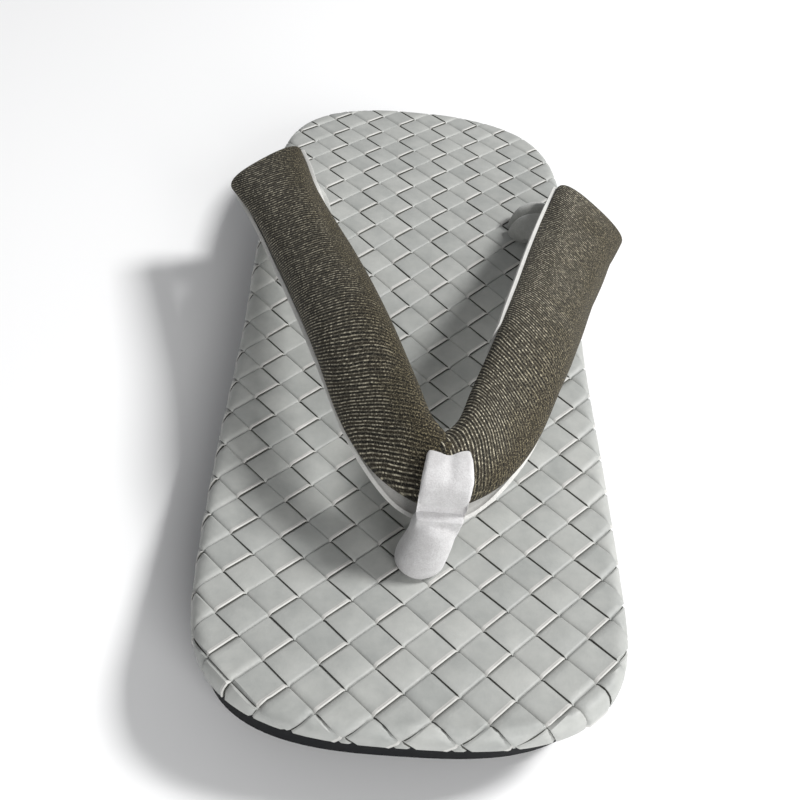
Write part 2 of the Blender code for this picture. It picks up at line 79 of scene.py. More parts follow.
class Station(NamedTuple):
    """Place, angles and section of a strap at a share of its way back."""

    at: float
    back: float
    spread: float
    rise: float
    lean: float
    turn: float
    tilt: float
    width: float
    thick: float
    flange: float


class Bend(NamedTuple):
    """Centre and section of a tail on its way from under its strap down to its hole."""

    at: float
    out: float
    up: float
    wide: float
    thick: float


SIDES = (
    Side(0.00, 0.970),
    Side(0.12, 0.966),
    Side(0.17, 0.978),
    Side(0.23, 0.993),
    Side(0.34, 1.000),
    Side(0.50, 0.988),
    Side(0.62, 0.994),
    Side(0.75, 0.976),
    Side(0.86, 0.966),
    Side(1.00, 0.963),
)

LEVELS = (
    Level(0.000, 0.00, 1.00),
    Level(0.110, 0.00, 0.54),
    Level(0.220, 0.00, 0.11),
    Level(0.330, 0.02, 0.00),
    Level(0.485, 0.21, 0.00),
    Level(0.675, 0.86, 0.00),
    Level(0.825, 1.04, 0.00),
    Level(1.000, 0.99, 0.00),
)

STATIONS = (
    Station(0.00, 0.2195, -0.020, 0.816, 1.00, 62.0, 66.0, 0.86, 0.92, 1.00),
    Station(0.06, 0.2280, 0.075, 0.832, 1.00, 48.0, 62.0, 0.89, 0.96, 0.95),
    Station(0.13, 0.2475, 0.185, 0.890, 1.00, 24.0, 50.0, 0.94, 1.00, 0.35),
    Station(0.22, 0.288, 0.290, 0.960, 1.00, 18.0, 35.0, 1.00, 1.00, 0.00),
    Station(0.36, 0.368, 0.430, 1.000, 1.00, 18.0, 30.0, 1.00, 1.00, 0.00),
    Station(0.52, 0.456, 0.560, 0.865, 0.90, 18.0, 30.0, 1.00, 1.00, 0.00),
    Station(0.68, 0.540, 0.690, 0.690, 0.65, 18.0, 30.0, 1.00, 1.00, 0.00),
    Station(0.84, 0.628, 0.855, 0.480, 0.25, 22.0, 28.0, 1.04, 1.00, 0.00),
    Station(1.00, 0.720, 1.050, 0.330, -0.05, 30.0, 26.0, 1.13, 0.72, 0.00),
)

BENDS = (
    Bend(0.00, 1.28, 0.36, 0.70, 0.42),
    Bend(0.15, 1.05, 0.42, 0.86, 0.60),
    Bend(0.34, 0.72, 0.58, 1.00, 0.90),
    Bend(0.55, 0.34, 0.64, 1.02, 1.06),
    Bend(0.70, 0.08, 0.44, 0.94, 1.10),
    Bend(0.82, 0.00, 0.04, 0.78, 1.16),
    Bend(0.91, 0.00, -0.28, 0.70, 1.20),
    Bend(1.00, 0.00, -0.60, 0.68, 1.20),
)


def blend(rows: Sequence[NamedTuple], column: str, place: float) -> float:
    """Reads a table's column at a place, on a smooth curve through its rows.

    Args:
        rows: the table, with its places in the column "at".
        column: name of the column.
        place: where along the table.

    Returns:
        The column's value there.
    """
    places = [row.at for row in rows]
    values = [getattr(row, column) for row in rows]
    last = len(rows) - 1
    place = min(max(place, places[0]), places[-1])
    low = 0
    while low < last - 1 and place > places[low + 1]:
        low += 1
    slopes = []
    for i in (low, low + 1):
        before, after = max(i - 1, 0), min(i + 1, last)
        slopes.append((values[after] - values[before]) / (places[after] - places[before]))
    span = places[low + 1] - places[low]
    t = (place - places[low]) / span
    start = values[low] * (2 * t**3 - 3 * t**2 + 1) + slopes[0] * span * (t**3 - 2 * t**2 + t)
    end = values[low + 1] * (3 * t**2 - 2 * t**3) + slopes[1] * span * (t**3 - t**2)
    return start + end


def smooth(value: float, low: float, high: float) -> float:
    """Eases from 0 at low to 1 at high.

    Args:
        value: the value to place between the two.
        low: where the result is 0.
        high: where the result is 1.

    Returns:
        The eased share.
    """
    share = min(max((value - low) / (high - low), 0.0), 1.0)
    return share * share * (3.0 - 2.0 * share)


def linear(colour: str) -> tuple[float, float, float, float]:
    """Turns an sRGB hex colour into the linear values that a shader takes.

    Args:
        colour: six hex digits.

    Returns:
        Linear red, green, blue and an alpha of 1.
    """
    shares = [int(colour[i:i + 2], 16) / 255.0 for i in (0, 2, 4)]
    red, green, blue = (
        share / 12.92 if share <= 0.04045 else ((share + 0.055) / 1.055) ** 2.4 for share in shares)
    return red, green, blue, 1.0


def add_node(
    tree: bpy.types.NodeTree, kind: str, inputs: dict[Any, Any] | None = None, **settings: Any
) -> bpy.types.Node:
    """Adds one node, with its settings, values and links.

    Args:
        tree: the node tree.
        kind: the node's type, without the leading ShaderNode.
        inputs: a value, or the socket to link from, for each named or numbered input.
        settings: the node's own settings.

    Returns:
        The new node.
    """
    node = tree.nodes.new("ShaderNode" + kind)
    for name, value in settings.items():
        setattr(node, name, value)
    for key, value in (inputs or {}).items():
        if isinstance(value, bpy.types.NodeSocket):
            tree.links.new(value, node.inputs[key])
        else:
            node.inputs[key].default_value = value
    return node


def new_material(name: str) -> tuple[bpy.types.Material, bpy.types.NodeTree]:
    """Starts a material with an empty node tree.

    Args:
        name: the finish, as a maker names it.

    Returns:
        The material and its tree.
    """
    material = bpy.data.materials.new(name)
    material.use_nodes = True
    material.node_tree.nodes.clear()
    return material, material.node_tree


def new_piece(name: str, bm: bmesh.types.BMesh, material: bpy.types.Material) -> bpy.types.Object:
    """Makes a smooth-shaded object from a bmesh.

    Args:
        name: the piece's name.
        bm: its mesh, which is freed.
        material: its finish.

    Returns:
        The linked object.
    """
    mesh = bpy.data.meshes.new(name)
    bm.to_mesh(mesh)
    bm.free()
    mesh.materials.append(material)
    mesh.shade_smooth()
    piece = bpy.data.objects.new(name, mesh)
    bpy.context.scene.collection.objects.link(piece)
    return piece


def settle(piece: bpy.types.Object) -> None:
    """Applies a piece's modifiers to its mesh.

    Args:
        piece: the piece to settle.
    """
    graph = bpy.context.evaluated_depsgraph_get()
    mesh = bpy.data.meshes.new_from_object(piece.evaluated_get(graph), depsgraph=graph)
    piece.modifiers.clear()
    piece.data = mesh
    mesh.name = piece.name


def place_piece(piece: bpy.types.Object, node: str) -> None:
    """Lets a piece ride on the sandal's one body in place of a CAD node.

    Args:
        piece: the finished piece.
        node: the CAD node it stands for.
    """
    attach(piece, BODY)
    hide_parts(node)
    log.info("%s stands for %s: %d faces", piece.name, node, len(piece.data.polygons))


class Hand(Enum):
    """Side of the sandal, as the sign of its x."""

    LEFT = -1
    RIGHT = 1


class RimPoint(NamedTuple):
    """A point of the outline with the direction along it and the one inwards."""

    place: Vector
    along: Vector
    inward: Vector


@dataclass
class Last:
    """Outline and heights that the sole and the footbed share."""

    length: float = 0.264
    ball_width: float = 0.1068
    ball_height: float = 0.0171
    heel_height: float = 0.0266
    toe_spring: float = 0.0071
    toe_reach: float = 0.045
    toe_fullness: float = 3.0
    toe_flatness: float = 0.36
    heel_reach: float = 0.075
    heel_fullness: float = 4.35
    heel_flatness: float = 0.415
    bevel_reach: float = 0.060
    bevel_rise: float = 0.0080
    rim_steps: int = 1600
    rim: list[RimPoint] = field(default_factory=list)
    tree: KDTree | None = None

    def __post_init__(self) -> None:
        """Samples the outline and sorts it for quick search."""
        self.rim = self.rim_points(self.rim_steps)
        self.tree = KDTree(len(self.rim))
        for i, point in enumerate(self.rim):
            self.tree.insert(point.place, i)
        self.tree.balance()

    def top(self, back: float) -> float:
        """Height of the footbed's face at a distance behind the toe."""
        place = back / self.length
        climb = (self.heel_height - self.ball_height) * blend(LEVELS, "climb", place)
        return self.ball_height + climb + self.toe_spring * blend(LEVELS, "spring", place)

    def bottom(self, back: float) -> float:
        """Height of the sole's underside, which lifts off the floor towards the toe."""
        return self.bevel_rise * max(0.0, 1.0 - back / self.bevel_reach) ** 2

    def row_y(self, back: float) -> float:
        """Y of a place at a distance behind the toe."""
        return back - self.length / 2

    def half_width(self, back: float) -> float:
        """Half the outline's width at a distance behind the toe.

        Args:
            back: the distance.

        Returns:
            The half width.
        """
        toe = min(max(back, 0.0) / self.toe_reach, 1.0)
        heel = min(max(self.length - back, 0.0) / self.heel_reach, 1.0)
        toe_share = (1.0 - (1.0 - toe) ** self.toe_fullness) ** self.toe_flatness
        heel_share = (1.0 - (1.0 - heel) ** self.heel_fullness) ** self.heel_flatness
        width = self.ball_width / 2 * blend(SIDES, "width", back / self.length)
        return width * toe_share * heel_share

    def rim_points(self, count: int) -> list[RimPoint]:
        """Walks round the outline from the toe over the right side.

        An eighth of the points goes to each side of the toe and of the heel.

        Args:
            count: how many points, a multiple of 8.

        Returns:
            The points, at z = 0 with y as the distance behind the toe.
        """
        quarter = count // 8
        middle = count // 2 - 2 * quarter
        turns = [math.pi / 2 * i / quarter for i in range(quarter + 1)]
        toe = [self.toe_reach * (1.0 - math.cos(turn)) for turn in turns]
        heel = [self.length - self.heel_reach * (1.0 - math.cos(turn)) for turn in reversed(turns)]
        between = [toe[-1] + (heel[0] - toe[-1]) * i / middle for i in range(1, middle)]
        backs = toe + between + heel
        right = [Vector((self.half_width(back), back, 0.0)) for back in backs]
        right[0].x = 0.0
        right[-1].x = 0.0
        left = [Vector((-point.x, point.y, 0.0)) for point in reversed(right[1:-1])]
        places = right + left
        points = []
        for i, place in enumerate(places):
            along = (places[(i + 1) % len(places)] - places[i - 1]).normalized()
            points.append(RimPoint(place, along, Vector((-along.y, along.x, 0.0))))
        return points

    def nearest(self, x: float, back: float) -> tuple[Vector, Vector, float]:
        """Finds the outline's nearest point.

        Args:
            x: sideways place.
            back: distance behind the toe.

        Returns:
            The point, the direction inwards and how far inside the outline the place is.
        """
        place = Vector((x, back, 0.0))
        point = self.rim[self.tree.find(place)[1]]
        offset = place - point.place
        return point.place + point.along * offset.dot(point.along), point.inward, offset.dot(point.inward)


@dataclass(frozen=True)
class Ring:
    """One ring of a body that follows the outline: its inset and its height at a distance back."""

    inset: Callable[[float], float]
    height: Callable[[float], float]


def ring_body(last: Last, rings: Sequence[Ring], steps: int) -> bmesh.types.BMesh:
    """Extrudes the outline down through rings and closes both ends straight across.

    Args:
        last: the outline.
        rings: the rings, top to bottom.
        steps: points round the outline.

    Returns:
        The closed body.
    """
    bm = bmesh.new()
    points = last.rim_points(steps)
    made = bmesh.ops.create_circle(bm, segments=len(points), radius=1.0, cap_ends=False)
    loop = made["verts"]
    loops = []
    for number, ring in enumerate(rings):
        if number:
            edges = [edge for edge in bm.edges if edge.verts[0] in loop and edge.verts[1] in loop]
            down = bmesh.ops.extrude_edge_only(bm, edges=edges)["geom"]
            fresh = {item for item in down if isinstance(item, bmesh.types.BMVert)}
            below = {}
            for vert in fresh:
                for edge in vert.link_edges:
                    if edge.other_vert(vert) not in fresh:
                        below[edge.other_vert(vert)] = vert
            loop = [below[vert] for vert in loop]
        for vert, point in zip(loop, points):
            flat = point.place + point.inward * ring.inset(point.place.y)
            vert.co = (flat.x, last.row_y(flat.y), ring.height(flat.y))
        loops.append(loop)
    count = len(points)
    for end in (loops[0], loops[-1]):
        bmesh.ops.contextual_create(bm, geom=end)
        for i in range(1, count // 2):
            bmesh.ops.connect_verts(bm, verts=[end[i], end[count - i]])
    bmesh.ops.recalc_face_normals(bm, faces=bm.faces)
    return bm


@dataclass(frozen=True)
class FoamRubber:
    """Moulded black foam rubber: closed skin, dull, with a faint sheen where it turns to the light."""

    colour: str = "030404"
    worn_colour: str = "090C12"
    smoothest: float = 0.73
    roughest: float = 0.90
    ior: float = 1.30
    cell: float = 0.45 * MM
    cell_depth: float = 0.12 * MM
    cell_strength: float = 0.35
    cloud: float = 9.0 * MM

    def build(self) -> bpy.types.Material:
        """Makes the material."""
        material, tree = new_material("moulded foam rubber")
        place = add_node(tree, "TexCoord").outputs["Object"]
        cloud = add_node(tree, "TexNoise", {"Vector": place, "Scale": 1.0 / self.cloud, "Detail": 3.0})
        cells = add_node(tree, "TexNoise", {"Vector": place, "Scale": 1.0 / self.cell, "Detail": 2.0})
        colour = add_node(
            tree, "Mix", {0: cloud.outputs["Fac"], 6: linear(self.colour), 7: linear(self.worn_colour)},
            data_type="RGBA")
        rough = add_node(
            tree, "MapRange", {"Value": cloud.outputs["Fac"], "To Min": self.smoothest,
                               "To Max": self.roughest})
        bump = add_node(
            tree, "Bump", {"Height": cells.outputs["Fac"], "Strength": self.cell_strength,
                           "Distance": self.cell_depth})
        shader = add_node(
            tree, "BsdfPrincipled", {
                "Base Color": colour.outputs[2], "Roughness": rough.outputs["Result"], "IOR": self.ior,
                "Normal": bump.outputs["Normal"]})
        add_node(tree, "OutputMaterial", {"Surface": shader.outputs["BSDF"]})
        return material


@dataclass(frozen=True)
class PlaitedLeather:
    """Drum-dyed soft leather cut into strips: pale, fine-grained, a little blotched and half matt."""

    name: str = "plaited dyed leather"
    colour: str = "B2B3AF"
    dark_colour: str = "9D9F9C"
    tone_share: float = 0.35
    darkest: float = 0.38
    palest: float = 0.97
    grain: float = 0.75 * MM
    grain_share: float = 0.6
    grain_depth: float = 0.10 * MM
    grain_strength: float = 0.30
    pore: float = 0.30 * MM
    blotch: float = 5.0 * MM
    smoothest: float = 0.44
    roughest: float = 0.60
    ior: float = 1.48
    sheen: float = 0.06

    def build(self) -> bpy.types.Material:
        """Makes the material; the tone of each crossing comes from the mesh."""
        material, tree = new_material(self.name)
        place = add_node(tree, "TexCoord").outputs["Object"]
        tone = add_node(tree, "Attribute", attribute_name=TONE_NAME).outputs["Fac"]
        blotch = add_node(
            tree, "TexNoise",
            {"Vector": place, "Scale": 1.0 / self.blotch, "Detail": 4.0, "Roughness": 0.6})
        grain = add_node(tree, "TexVoronoi", {"Vector": place, "Scale": 1.0 / self.grain})
        pores = add_node(tree, "TexNoise", {"Vector": place, "Scale": 1.0 / self.pore, "Detail": 2.0})
        shade = add_node(
            tree, "Math", {0: tone, 1: self.tone_share, 2: blotch.outputs["Fac"]},
            operation="MULTIPLY_ADD")
        share = add_node(
            tree, "MapRange", {"Value": shade.outputs[0], "From Min": self.darkest,
                               "From Max": self.palest})
        colour = add_node(
            tree, "Mix", {0: share.outputs["Result"], 6: linear(self.dark_colour), 7: linear(self.colour)},
            data_type="RGBA")
        relief = add_node(
            tree, "Math", {0: grain.outputs["Distance"], 1: self.grain_share, 2: pores.outputs["Fac"]},
            operation="MULTIPLY_ADD")
        bump = add_node(
            tree, "Bump", {"Height": relief.outputs[0], "Strength": self.grain_strength,
                           "Distance": self.grain_depth})
        rough = add_node(
            tree, "MapRange", {"Value": pores.outputs["Fac"], "To Min": self.smoothest,
                               "To Max": self.roughest})
        shader = add_node(
            tree, "BsdfPrincipled", {
                "Base Color": colour.outputs[2], "Roughness": rough.outputs["Result"], "IOR": self.ior,
                "Sheen Weight": self.sheen, "Normal": bump.outputs["Normal"]})
        add_node(tree, "OutputMaterial", {"Surface": shader.outputs["BSDF"]})
        return material


@dataclass(frozen=True)
class FleckedTwill:
    """Wool and cotton twill, yarn-dyed: dark ground with diagonal rows of pale flecks, quite matt.

    The rows are about 1 mm apart, as on the real cloth, which is just wide enough to show. Towards
    one side of the strap they break up into scattered specks. The fuzz is drawn coarser than real
    fibres, so that it shows. The lay is in degrees, and all places are in metres of cloth.
    """

    lay: float
    rows_at: float
    specks_at: float
    ground: str = "12100B"
    weft: str = "28231A"
    fleck: str = "E3DDC9"
    brown_fleck: str = "A9996B"
    row: float = 0.95 * MM
    row_shift: float = 0.43
    furrow: float = 0.25
    crest: float = 0.45
    stitch: float = 0.50 * MM
    stitch_end: float = -0.20
    stitch_full: float = 0.25
    rarity: float = 2.4
    dullest: float = 0.18
    brightest: float = 1.3
    speck: float = 0.42 * MM
    speck_from: float = 0.50
    speck_full: float = 0.74
    speck_strength: float = 0.75
    fewest_specks: float = 0.26
    most_specks: float = 0.78
    waver: float = 6.0 * MM
    row_waver: float = 0.9 * MM
    side_waver: float = 12.0 * MM
    fuzz: float = 0.25 * MM
    fuzz_share: float = 0.4
    yarn_depth: float = 0.22 * MM
    yarn_strength: float = 0.65
    roughness: float = 0.92
    ior: float = 1.35
    sheen: float = 0.04

    def build(self) -> bpy.types.Material:
        """Makes the material, on the strap's own cloth coordinates."""
        material, tree = new_material("flecked twill")
        cloth = add_node(tree, "UVMap", uv_map=UV_NAME).outputs["UV"]
        waver = add_node(tree, "TexNoise", {"Vector": cloth, "Scale": 1.0 / self.waver, "Detail": 2.0})
        bent = add_node(
            tree, "VectorMath", {0: waver.outputs["Color"], 1: (self.row_waver,) * 3, 2: cloth},
            operation="MULTIPLY_ADD")
        turned = add_node(
            tree, "Mapping", {
                "Vector": bent.outputs[0], "Rotation": (0.0, 0.0, math.radians(self.lay)),
                "Scale": (self.stitch, self.row, 1.0)}, vector_type="TEXTURE")
        parts = add_node(tree, "SeparateXYZ", {"Vector": turned.outputs[0]})
        line = add_node(tree, "Math", {0: parts.outputs["Y"]}, operation="FLOOR")
        shifted = add_node(
            tree, "Math", {0: line.outputs[0], 1: self.row_shift, 2: parts.outputs["X"]},
            operation="MULTIPLY_ADD")
        number = add_node(tree, "Math", {0: shifted.outputs[0]}, operation="FLOOR")
        knot = add_node(tree, "CombineXYZ", {"X": number.outputs[0], "Y": line.outputs[0]})
        luck = add_node(tree, "TexWhiteNoise", {"Vector": knot.outputs[0]}, noise_dimensions="2D")
        across = add_node(tree, "Math", {0: parts.outputs["Y"], 1: 1.0}, operation="PINGPONG")
        beside = add_node(tree, "Math", {0: shifted.outputs[0], 1: 0.5}, operation="PINGPONG")
        rows = add_node(tree, "Math", {0: parts.outputs["Y"], 1: 0.5}, operation="PINGPONG")
        hill = add_node(
            tree, "MapRange", {"Value": rows.outputs[0], "From Min": self.furrow, "From Max": self.crest},
            interpolation_type="SMOOTHSTEP")
        dash = add_node(
            tree, "MapRange", {"Value": beside.outputs[0], "From Min": self.stitch_end,
                               "From Max": self.stitch_full}, interpolation_type="SMOOTHSTEP")
        rare = add_node(tree, "Math", {0: luck.outputs["Value"], 1: self.rarity}, operation="POWER")
        pale = add_node(
            tree, "MapRange", {"Value": rare.outputs[0], "To Min": self.dullest, "To Max": self.brightest})
        stitch = add_node(tree, "Math", {0: hill.outputs[0], 1: dash.outputs[0]}, operation="MULTIPLY")
        lined = add_node(tree, "Math", {0: stitch.outputs[0], 1: pale.outputs[0]}, operation="MULTIPLY")
        dust = add_node(
            tree, "TexNoise", {"Vector": cloth, "Scale": 1.0 / self.speck, "Detail": 2.0, "Roughness": 0.7})
        specks = add_node(
            tree, "MapRange", {"Value": dust.outputs["Fac"], "From Min": self.speck_from,
                               "From Max": self.speck_full, "To Max": self.speck_strength},
            interpolation_type="SMOOTHSTEP")
        round_strap = add_node(tree, "SeparateXYZ", {"Vector": cloth})
        drift = add_node(
            tree, "Math", {0: waver.outputs["Fac"], 1: self.side_waver, 2: round_strap.outputs["Y"]},
            operation="MULTIPLY_ADD")
        broken = add_node(
            tree, "MapRange", {
                "Value": drift.outputs[0], "From Min": self.rows_at, "From Max": self.specks_at,
                "To Min": self.fewest_specks, "To Max": self.most_specks},
            interpolation_type="SMOOTHSTEP")
        mask = add_node(
            tree, "Mix", {0: broken.outputs[0], 2: lined.outputs[0], 3: specks.outputs[0]},
            data_type="FLOAT")
        ground = add_node(
            tree, "Mix", {0: across.outputs[0], 6: linear(self.ground), 7: linear(self.weft)},
            data_type="RGBA")
        fleck = add_node(
            tree, "Mix", {0: broken.outputs[0], 6: linear(self.fleck), 7: linear(self.brown_fleck)},
            data_type="RGBA")
        colour = add_node(
            tree, "Mix", {0: mask.outputs[0], 6: ground.outputs[2], 7: fleck.outputs[2]},
            data_type="RGBA")
        fuzz = add_node(tree, "TexNoise", {"Vector": cloth, "Scale": 1.0 / self.fuzz, "Detail": 2.0})
        relief = add_node(
            tree, "Math", {0: fuzz.outputs["Fac"], 1: self.fuzz_share, 2: mask.outputs[0]},
            operation="MULTIPLY_ADD")
        bump = add_node(
            tree, "Bump", {"Height": relief.outputs[0], "Strength": self.yarn_strength,
                           "Distance": self.yarn_depth})
        shader = add_node(
            tree, "BsdfPrincipled", {
                "Base Color": colour.outputs[2], "Roughness": self.roughness, "IOR": self.ior,
                "Sheen Weight": self.sheen, "Normal": bump.outputs["Normal"]})
        add_node(tree, "OutputMaterial", {"Surface": shader.outputs["BSDF"]})
        return material


@dataclass(frozen=True)
class Suede:
    """Brushed split leather: short nap that is dull, soft and slightly uneven in tone.

    The nap is drawn coarser than it is, so that it shows.
    """

    name: str
    colour: str
    brushed: str
    darkest: float = 0.75
    palest: float = 1.25
    nap: float = 0.36 * MM
    nap_depth: float = 0.18 * MM
    nap_strength: float = 0.60
    cloud: float = 2.6 * MM
    smoothest: float = 0.86
    ior: float = 1.5
    sheen: float = 0.35
    sheen_roughness: float = 0.6

    def build(self) -> bpy.types.Material:
        """Makes the material."""
        material, tree = new_material(self.name)
        place = add_node(tree, "TexCoord").outputs["Object"]
        cloud = add_node(
            tree, "TexNoise",
            {"Vector": place, "Scale": 1.0 / self.cloud, "Detail": 5.0, "Roughness": 0.65})
        nap = add_node(tree, "TexNoise", {"Vector": place, "Scale": 1.0 / self.nap, "Detail": 3.0})
        mixed = add_node(tree, "Math", {0: cloud.outputs["Fac"], 1: nap.outputs["Fac"]}, operation="ADD")
        share = add_node(
            tree, "MapRange", {"Value": mixed.outputs[0], "From Min": self.darkest,
                               "From Max": self.palest})
        colour = add_node(
            tree, "Mix", {0: share.outputs["Result"], 6: linear(self.colour), 7: linear(self.brushed)},
            data_type="RGBA")
        rough = add_node(
            tree, "MapRange", {"Value": nap.outputs["Fac"], "To Min": self.smoothest})
        bump = add_node(
            tree, "Bump", {"Height": nap.outputs["Fac"], "Strength": self.nap_strength,
                           "Distance": self.nap_depth})
        shader = add_node(
            tree, "BsdfPrincipled", {
                "Base Color": colour.outputs[2], "Roughness": rough.outputs["Result"], "IOR": self.ior,
                "Sheen Weight": self.sheen, "Sheen Roughness": self.sheen_roughness,
                "Normal": bump.outputs["Normal"]})
        add_node(tree, "OutputMaterial", {"Surface": shader.outputs["BSDF"]})
        return material


@dataclass
class Sole:
    """Wedge sole, inset under the rim and lifted at the toe."""

    last: Last
    footbed_thickness: float = 0.0050
    setback: float = 0.0015
    draft: float = math.radians(9.0)
    shift: float = -0.0012
    edge_radius: float = 0.0025
    edge_steps: int = 6
    wall_steps: int = 6
    outline_steps: int = 320

    def wall_inset(self, drop: float) -> Callable[[float], float]:
        """Gives the wall's inset at a share of the sole's thickness below its top.

        Args:
            drop: the share.

        Returns:
            The inset as a function of the distance behind the toe.
        """
        def inset(back: float) -> float:
            """Inset at one distance behind the toe."""
            thickness = self.last.top(back) - self.footbed_thickness - self.last.bottom(back)
            return self.setback + math.tan(self.draft) * thickness * drop
        return inset

    def rings(self) -> list[Ring]:
        """Lists the rings from the sole's top edge down its wall and round its lower edge."""
        def height(drop: float, lift: float) -> Callable[[float], float]:
            """Height at a share of the thickness below the top, lifted off the underside."""
            def at(back: float) -> float:
                """Height at one distance behind the toe."""
                top = self.last.top(back) - self.footbed_thickness
                return top + (self.last.bottom(back) + lift - top) * drop
            return at

        rings = []
        for i in range(self.wall_steps):
            drop = i / self.wall_steps
            rings.append(Ring(self.wall_inset(drop), height(drop, self.edge_radius)))
        for i in range(self.edge_steps + 1):
            turn = math.pi / 2 * i / self.edge_steps
            inward = self.edge_radius * (1.0 - math.cos(turn))
            lift = self.edge_radius * (1.0 - math.sin(turn))
            rings.append(Ring(
                lambda back, inward=inward: self.wall_inset(1.0)(back) + inward, height(1.0, lift)))
        return rings

    def build(self) -> None:
        """Makes the sole and sets it in place."""
        bm = ring_body(self.last, self.rings(), self.outline_steps)
        bmesh.ops.translate(bm, verts=bm.verts, vec=(self.shift, 0.0, 0.0))
        piece = new_piece("wedge_sole", bm, FoamRubber().build())
        piece.data.set_sharp_from_angle(angle=SHARP_ANGLE)
        place_piece(piece, "outsole")


class Weave(Enum):
    """The two ways that a strip runs, as its direction sideways and back."""

    TO_TOE = (1.0, -1.0)
    TO_HEEL = (1.0, 1.0)


class Edge(Enum):
    """Material slots of the strips' edges, next to slot 0 for their faces: a pale painted highlight on the
    folds and a dark painted shade on the side walls.
    """

    FOLDED = 1
    CUT = 2


@dataclass
class Footbed:
    """Plate covered in leather strips, plaited over and under at 45 degrees and wrapped round its rim."""

    last: Last
    thickness: float = 0.0050
    rim_radius: float = 0.0030
    strip_pitch: float = 0.00868
    strip_gap: float = 0.00007
    leather: float = 0.00082
    fold_width: float = 0.00090
    fold_rise: float = 0.00014
    fold_slope: float = 0.6
    edge_drop: float = 0.00010
    tuck: float = 0.00030
    tuck_width: float = 0.0005
    dive: float = 0.00105
    dive_start: float = 0.0008
    dive_end: float = 0.0005
    side_shift: float = 0.00405
    toe_shift: float = 0.0168
    rows_before_toe: int = 6
    spare_rows: int = 4
    spare_columns: int = 2
    fine_reach: float = 1.3
    slant: float = 0.012
    unevenness: float = 0.00003
    seed: int = 11
    core_gap: float = 0.0002
    outline_steps: int = 240
    core_steps: int = 6

    def arc(self) -> float:
        """Length of the strips' way round the rim, from the face to the lower edge."""
        return self.rim_radius * math.pi / 2 + self.thickness - self.rim_radius

    def surface(self, x: float, back: float, lift: float) -> Vector:
        """Lays a flat place of the plait onto the footbed and round its rim.

        Args:
            x: sideways place on the flat plait.
            back: distance behind the toe on the flat plait.
            lift: height over the surface.

        Returns:
            The place on the footbed.
        """
        rim, inward, inside = self.last.nearest(x, back)
        over = self.rim_radius - inside
        top = self.last.top(back if over < 0.0 else rim.y)
        if over < 0.0:
            return Vector((x, self.last.row_y(back), top + lift))
        turn = min(over / self.rim_radius, math.pi / 2)
        radius = self.rim_radius + lift
        flat = rim + inward * (self.rim_radius - radius * math.sin(turn))
        height = top - self.rim_radius + radius * math.cos(turn)
        height -= max(0.0, over - self.rim_radius * math.pi / 2)
        return Vector((flat.x, self.last.row_y(flat.y), height))

    def strip_height(self, weave: Weave, along: float, across: float) -> float:
        """Height of a strip's face over one crossing.

        Args:
            weave: the way the strip runs.
            along: distance from the crossing's middle along the strip.
            across: distance from the strip's middle line, towards the heel.

        Returns:
            The height, 0 on the crest and lower where the strip dives under its neighbours.
        """
        half = self.strip_pitch / 2
        side = half - self.strip_gap
        from_fold = (across + side) / self.fold_width
        rise = 0.0
        if weave is Weave.TO_HEEL and from_fold < 1.0:
            rise = self.fold_rise * math.sin(math.pi * max(from_fold, 0.0) ** self.fold_slope)
        edge = self.edge_drop * smooth(-across, side - self.fold_width / 3, side)
        tuck = self.tuck * smooth(across, side - self.tuck_width, side)
        dive = self.dive * smooth(abs(along), half - self.dive_start, half + self.dive_end)
        return rise - edge - tuck - dive

    def crossing(self, weave: Weave, fine: bool) -> bmesh.types.BMesh:
        """Makes one crossing's length of strip, flat and with its middle at the origin.

        A strip that runs to the heel has its edge folded on the toe side, and the other has it cut. The
        fold's top faces carry a pale painted highlight and all side walls a dark painted shade.

        Args:
            weave: the way the strip runs.
            fine: whether it goes round the rim, and so has smaller faces.

        Returns:
            A closed length of strip, with x along it.
        """
        half = self.strip_pitch / 2
        start, end = half - self.dive_start, half + self.dive_end
        side = half - self.strip_gap
        far = side - self.tuck_width
        fold = self.fold_width - side
        crest = self.fold_width / 3 - side
        rows = [0.0, start, (start + end) / 2, end]
        columns = [-side, crest, fold, far, side]
        if fine:
            rows = [0.0, start / 3, start * 2 / 3, start, (start + end) / 2, end]
            columns = [-side, crest, fold, fold / 2, 0.0, far / 2, far, (far + side) / 2, side]
        steps = len(rows) - 1
        bm = bmesh.new()
        bmesh.ops.create_grid(bm, x_segments=2 * steps, y_segments=len(columns) - 1, size=1.0)
        for vert in bm.verts:
            vert.co.x = math.copysign(rows[round(abs(vert.co.x) * steps)], vert.co.x)
            vert.co.y = columns[round((vert.co.y + 1.0) / 2 * (len(columns) - 1))]
        upper = list(bm.faces)
        made = bmesh.ops.extrude_face_region(bm, geom=upper, use_keep_orig=True)["geom"]
        lower = {item for item in made if isinstance(item, bmesh.types.BMVert)}
        bmesh.ops.translate(bm, verts=list(lower), vec=(0.0, 0.0, -self.leather))
        # Side walls of every strip get the dark slot: painted shade along the edges where the strips stand
        # over their neighbours.
        for face in bm.faces:
            below = sum(vert in lower for vert in face.verts)
            if 0 < below < len(face.verts):
                face.material_index = Edge.CUT.value
            # Top faces of the toe-side fold on strips running to the heel get the pale slot: painted
            # highlight where the light catches the fold.
            elif below == 0 and weave is Weave.TO_HEEL and face.calc_center_median().y < fold:
                face.material_index = Edge.FOLDED.value
        inner = [
            edge for edge in bm.edges
            if set(edge.verts) <= lower and abs(edge.verts[0].co.y - edge.verts[1].co.y) < WELD
            and abs(edge.verts[0].co.y) < side - WELD]
        bmesh.ops.dissolve_edges(bm, edges=inner, use_verts=False)
        bmesh.ops.recalc_face_normals(bm, faces=bm.faces)
        for vert in bm.verts:
            vert.co.z += self.strip_height(weave, vert.co.x, vert.co.y)
        return bm

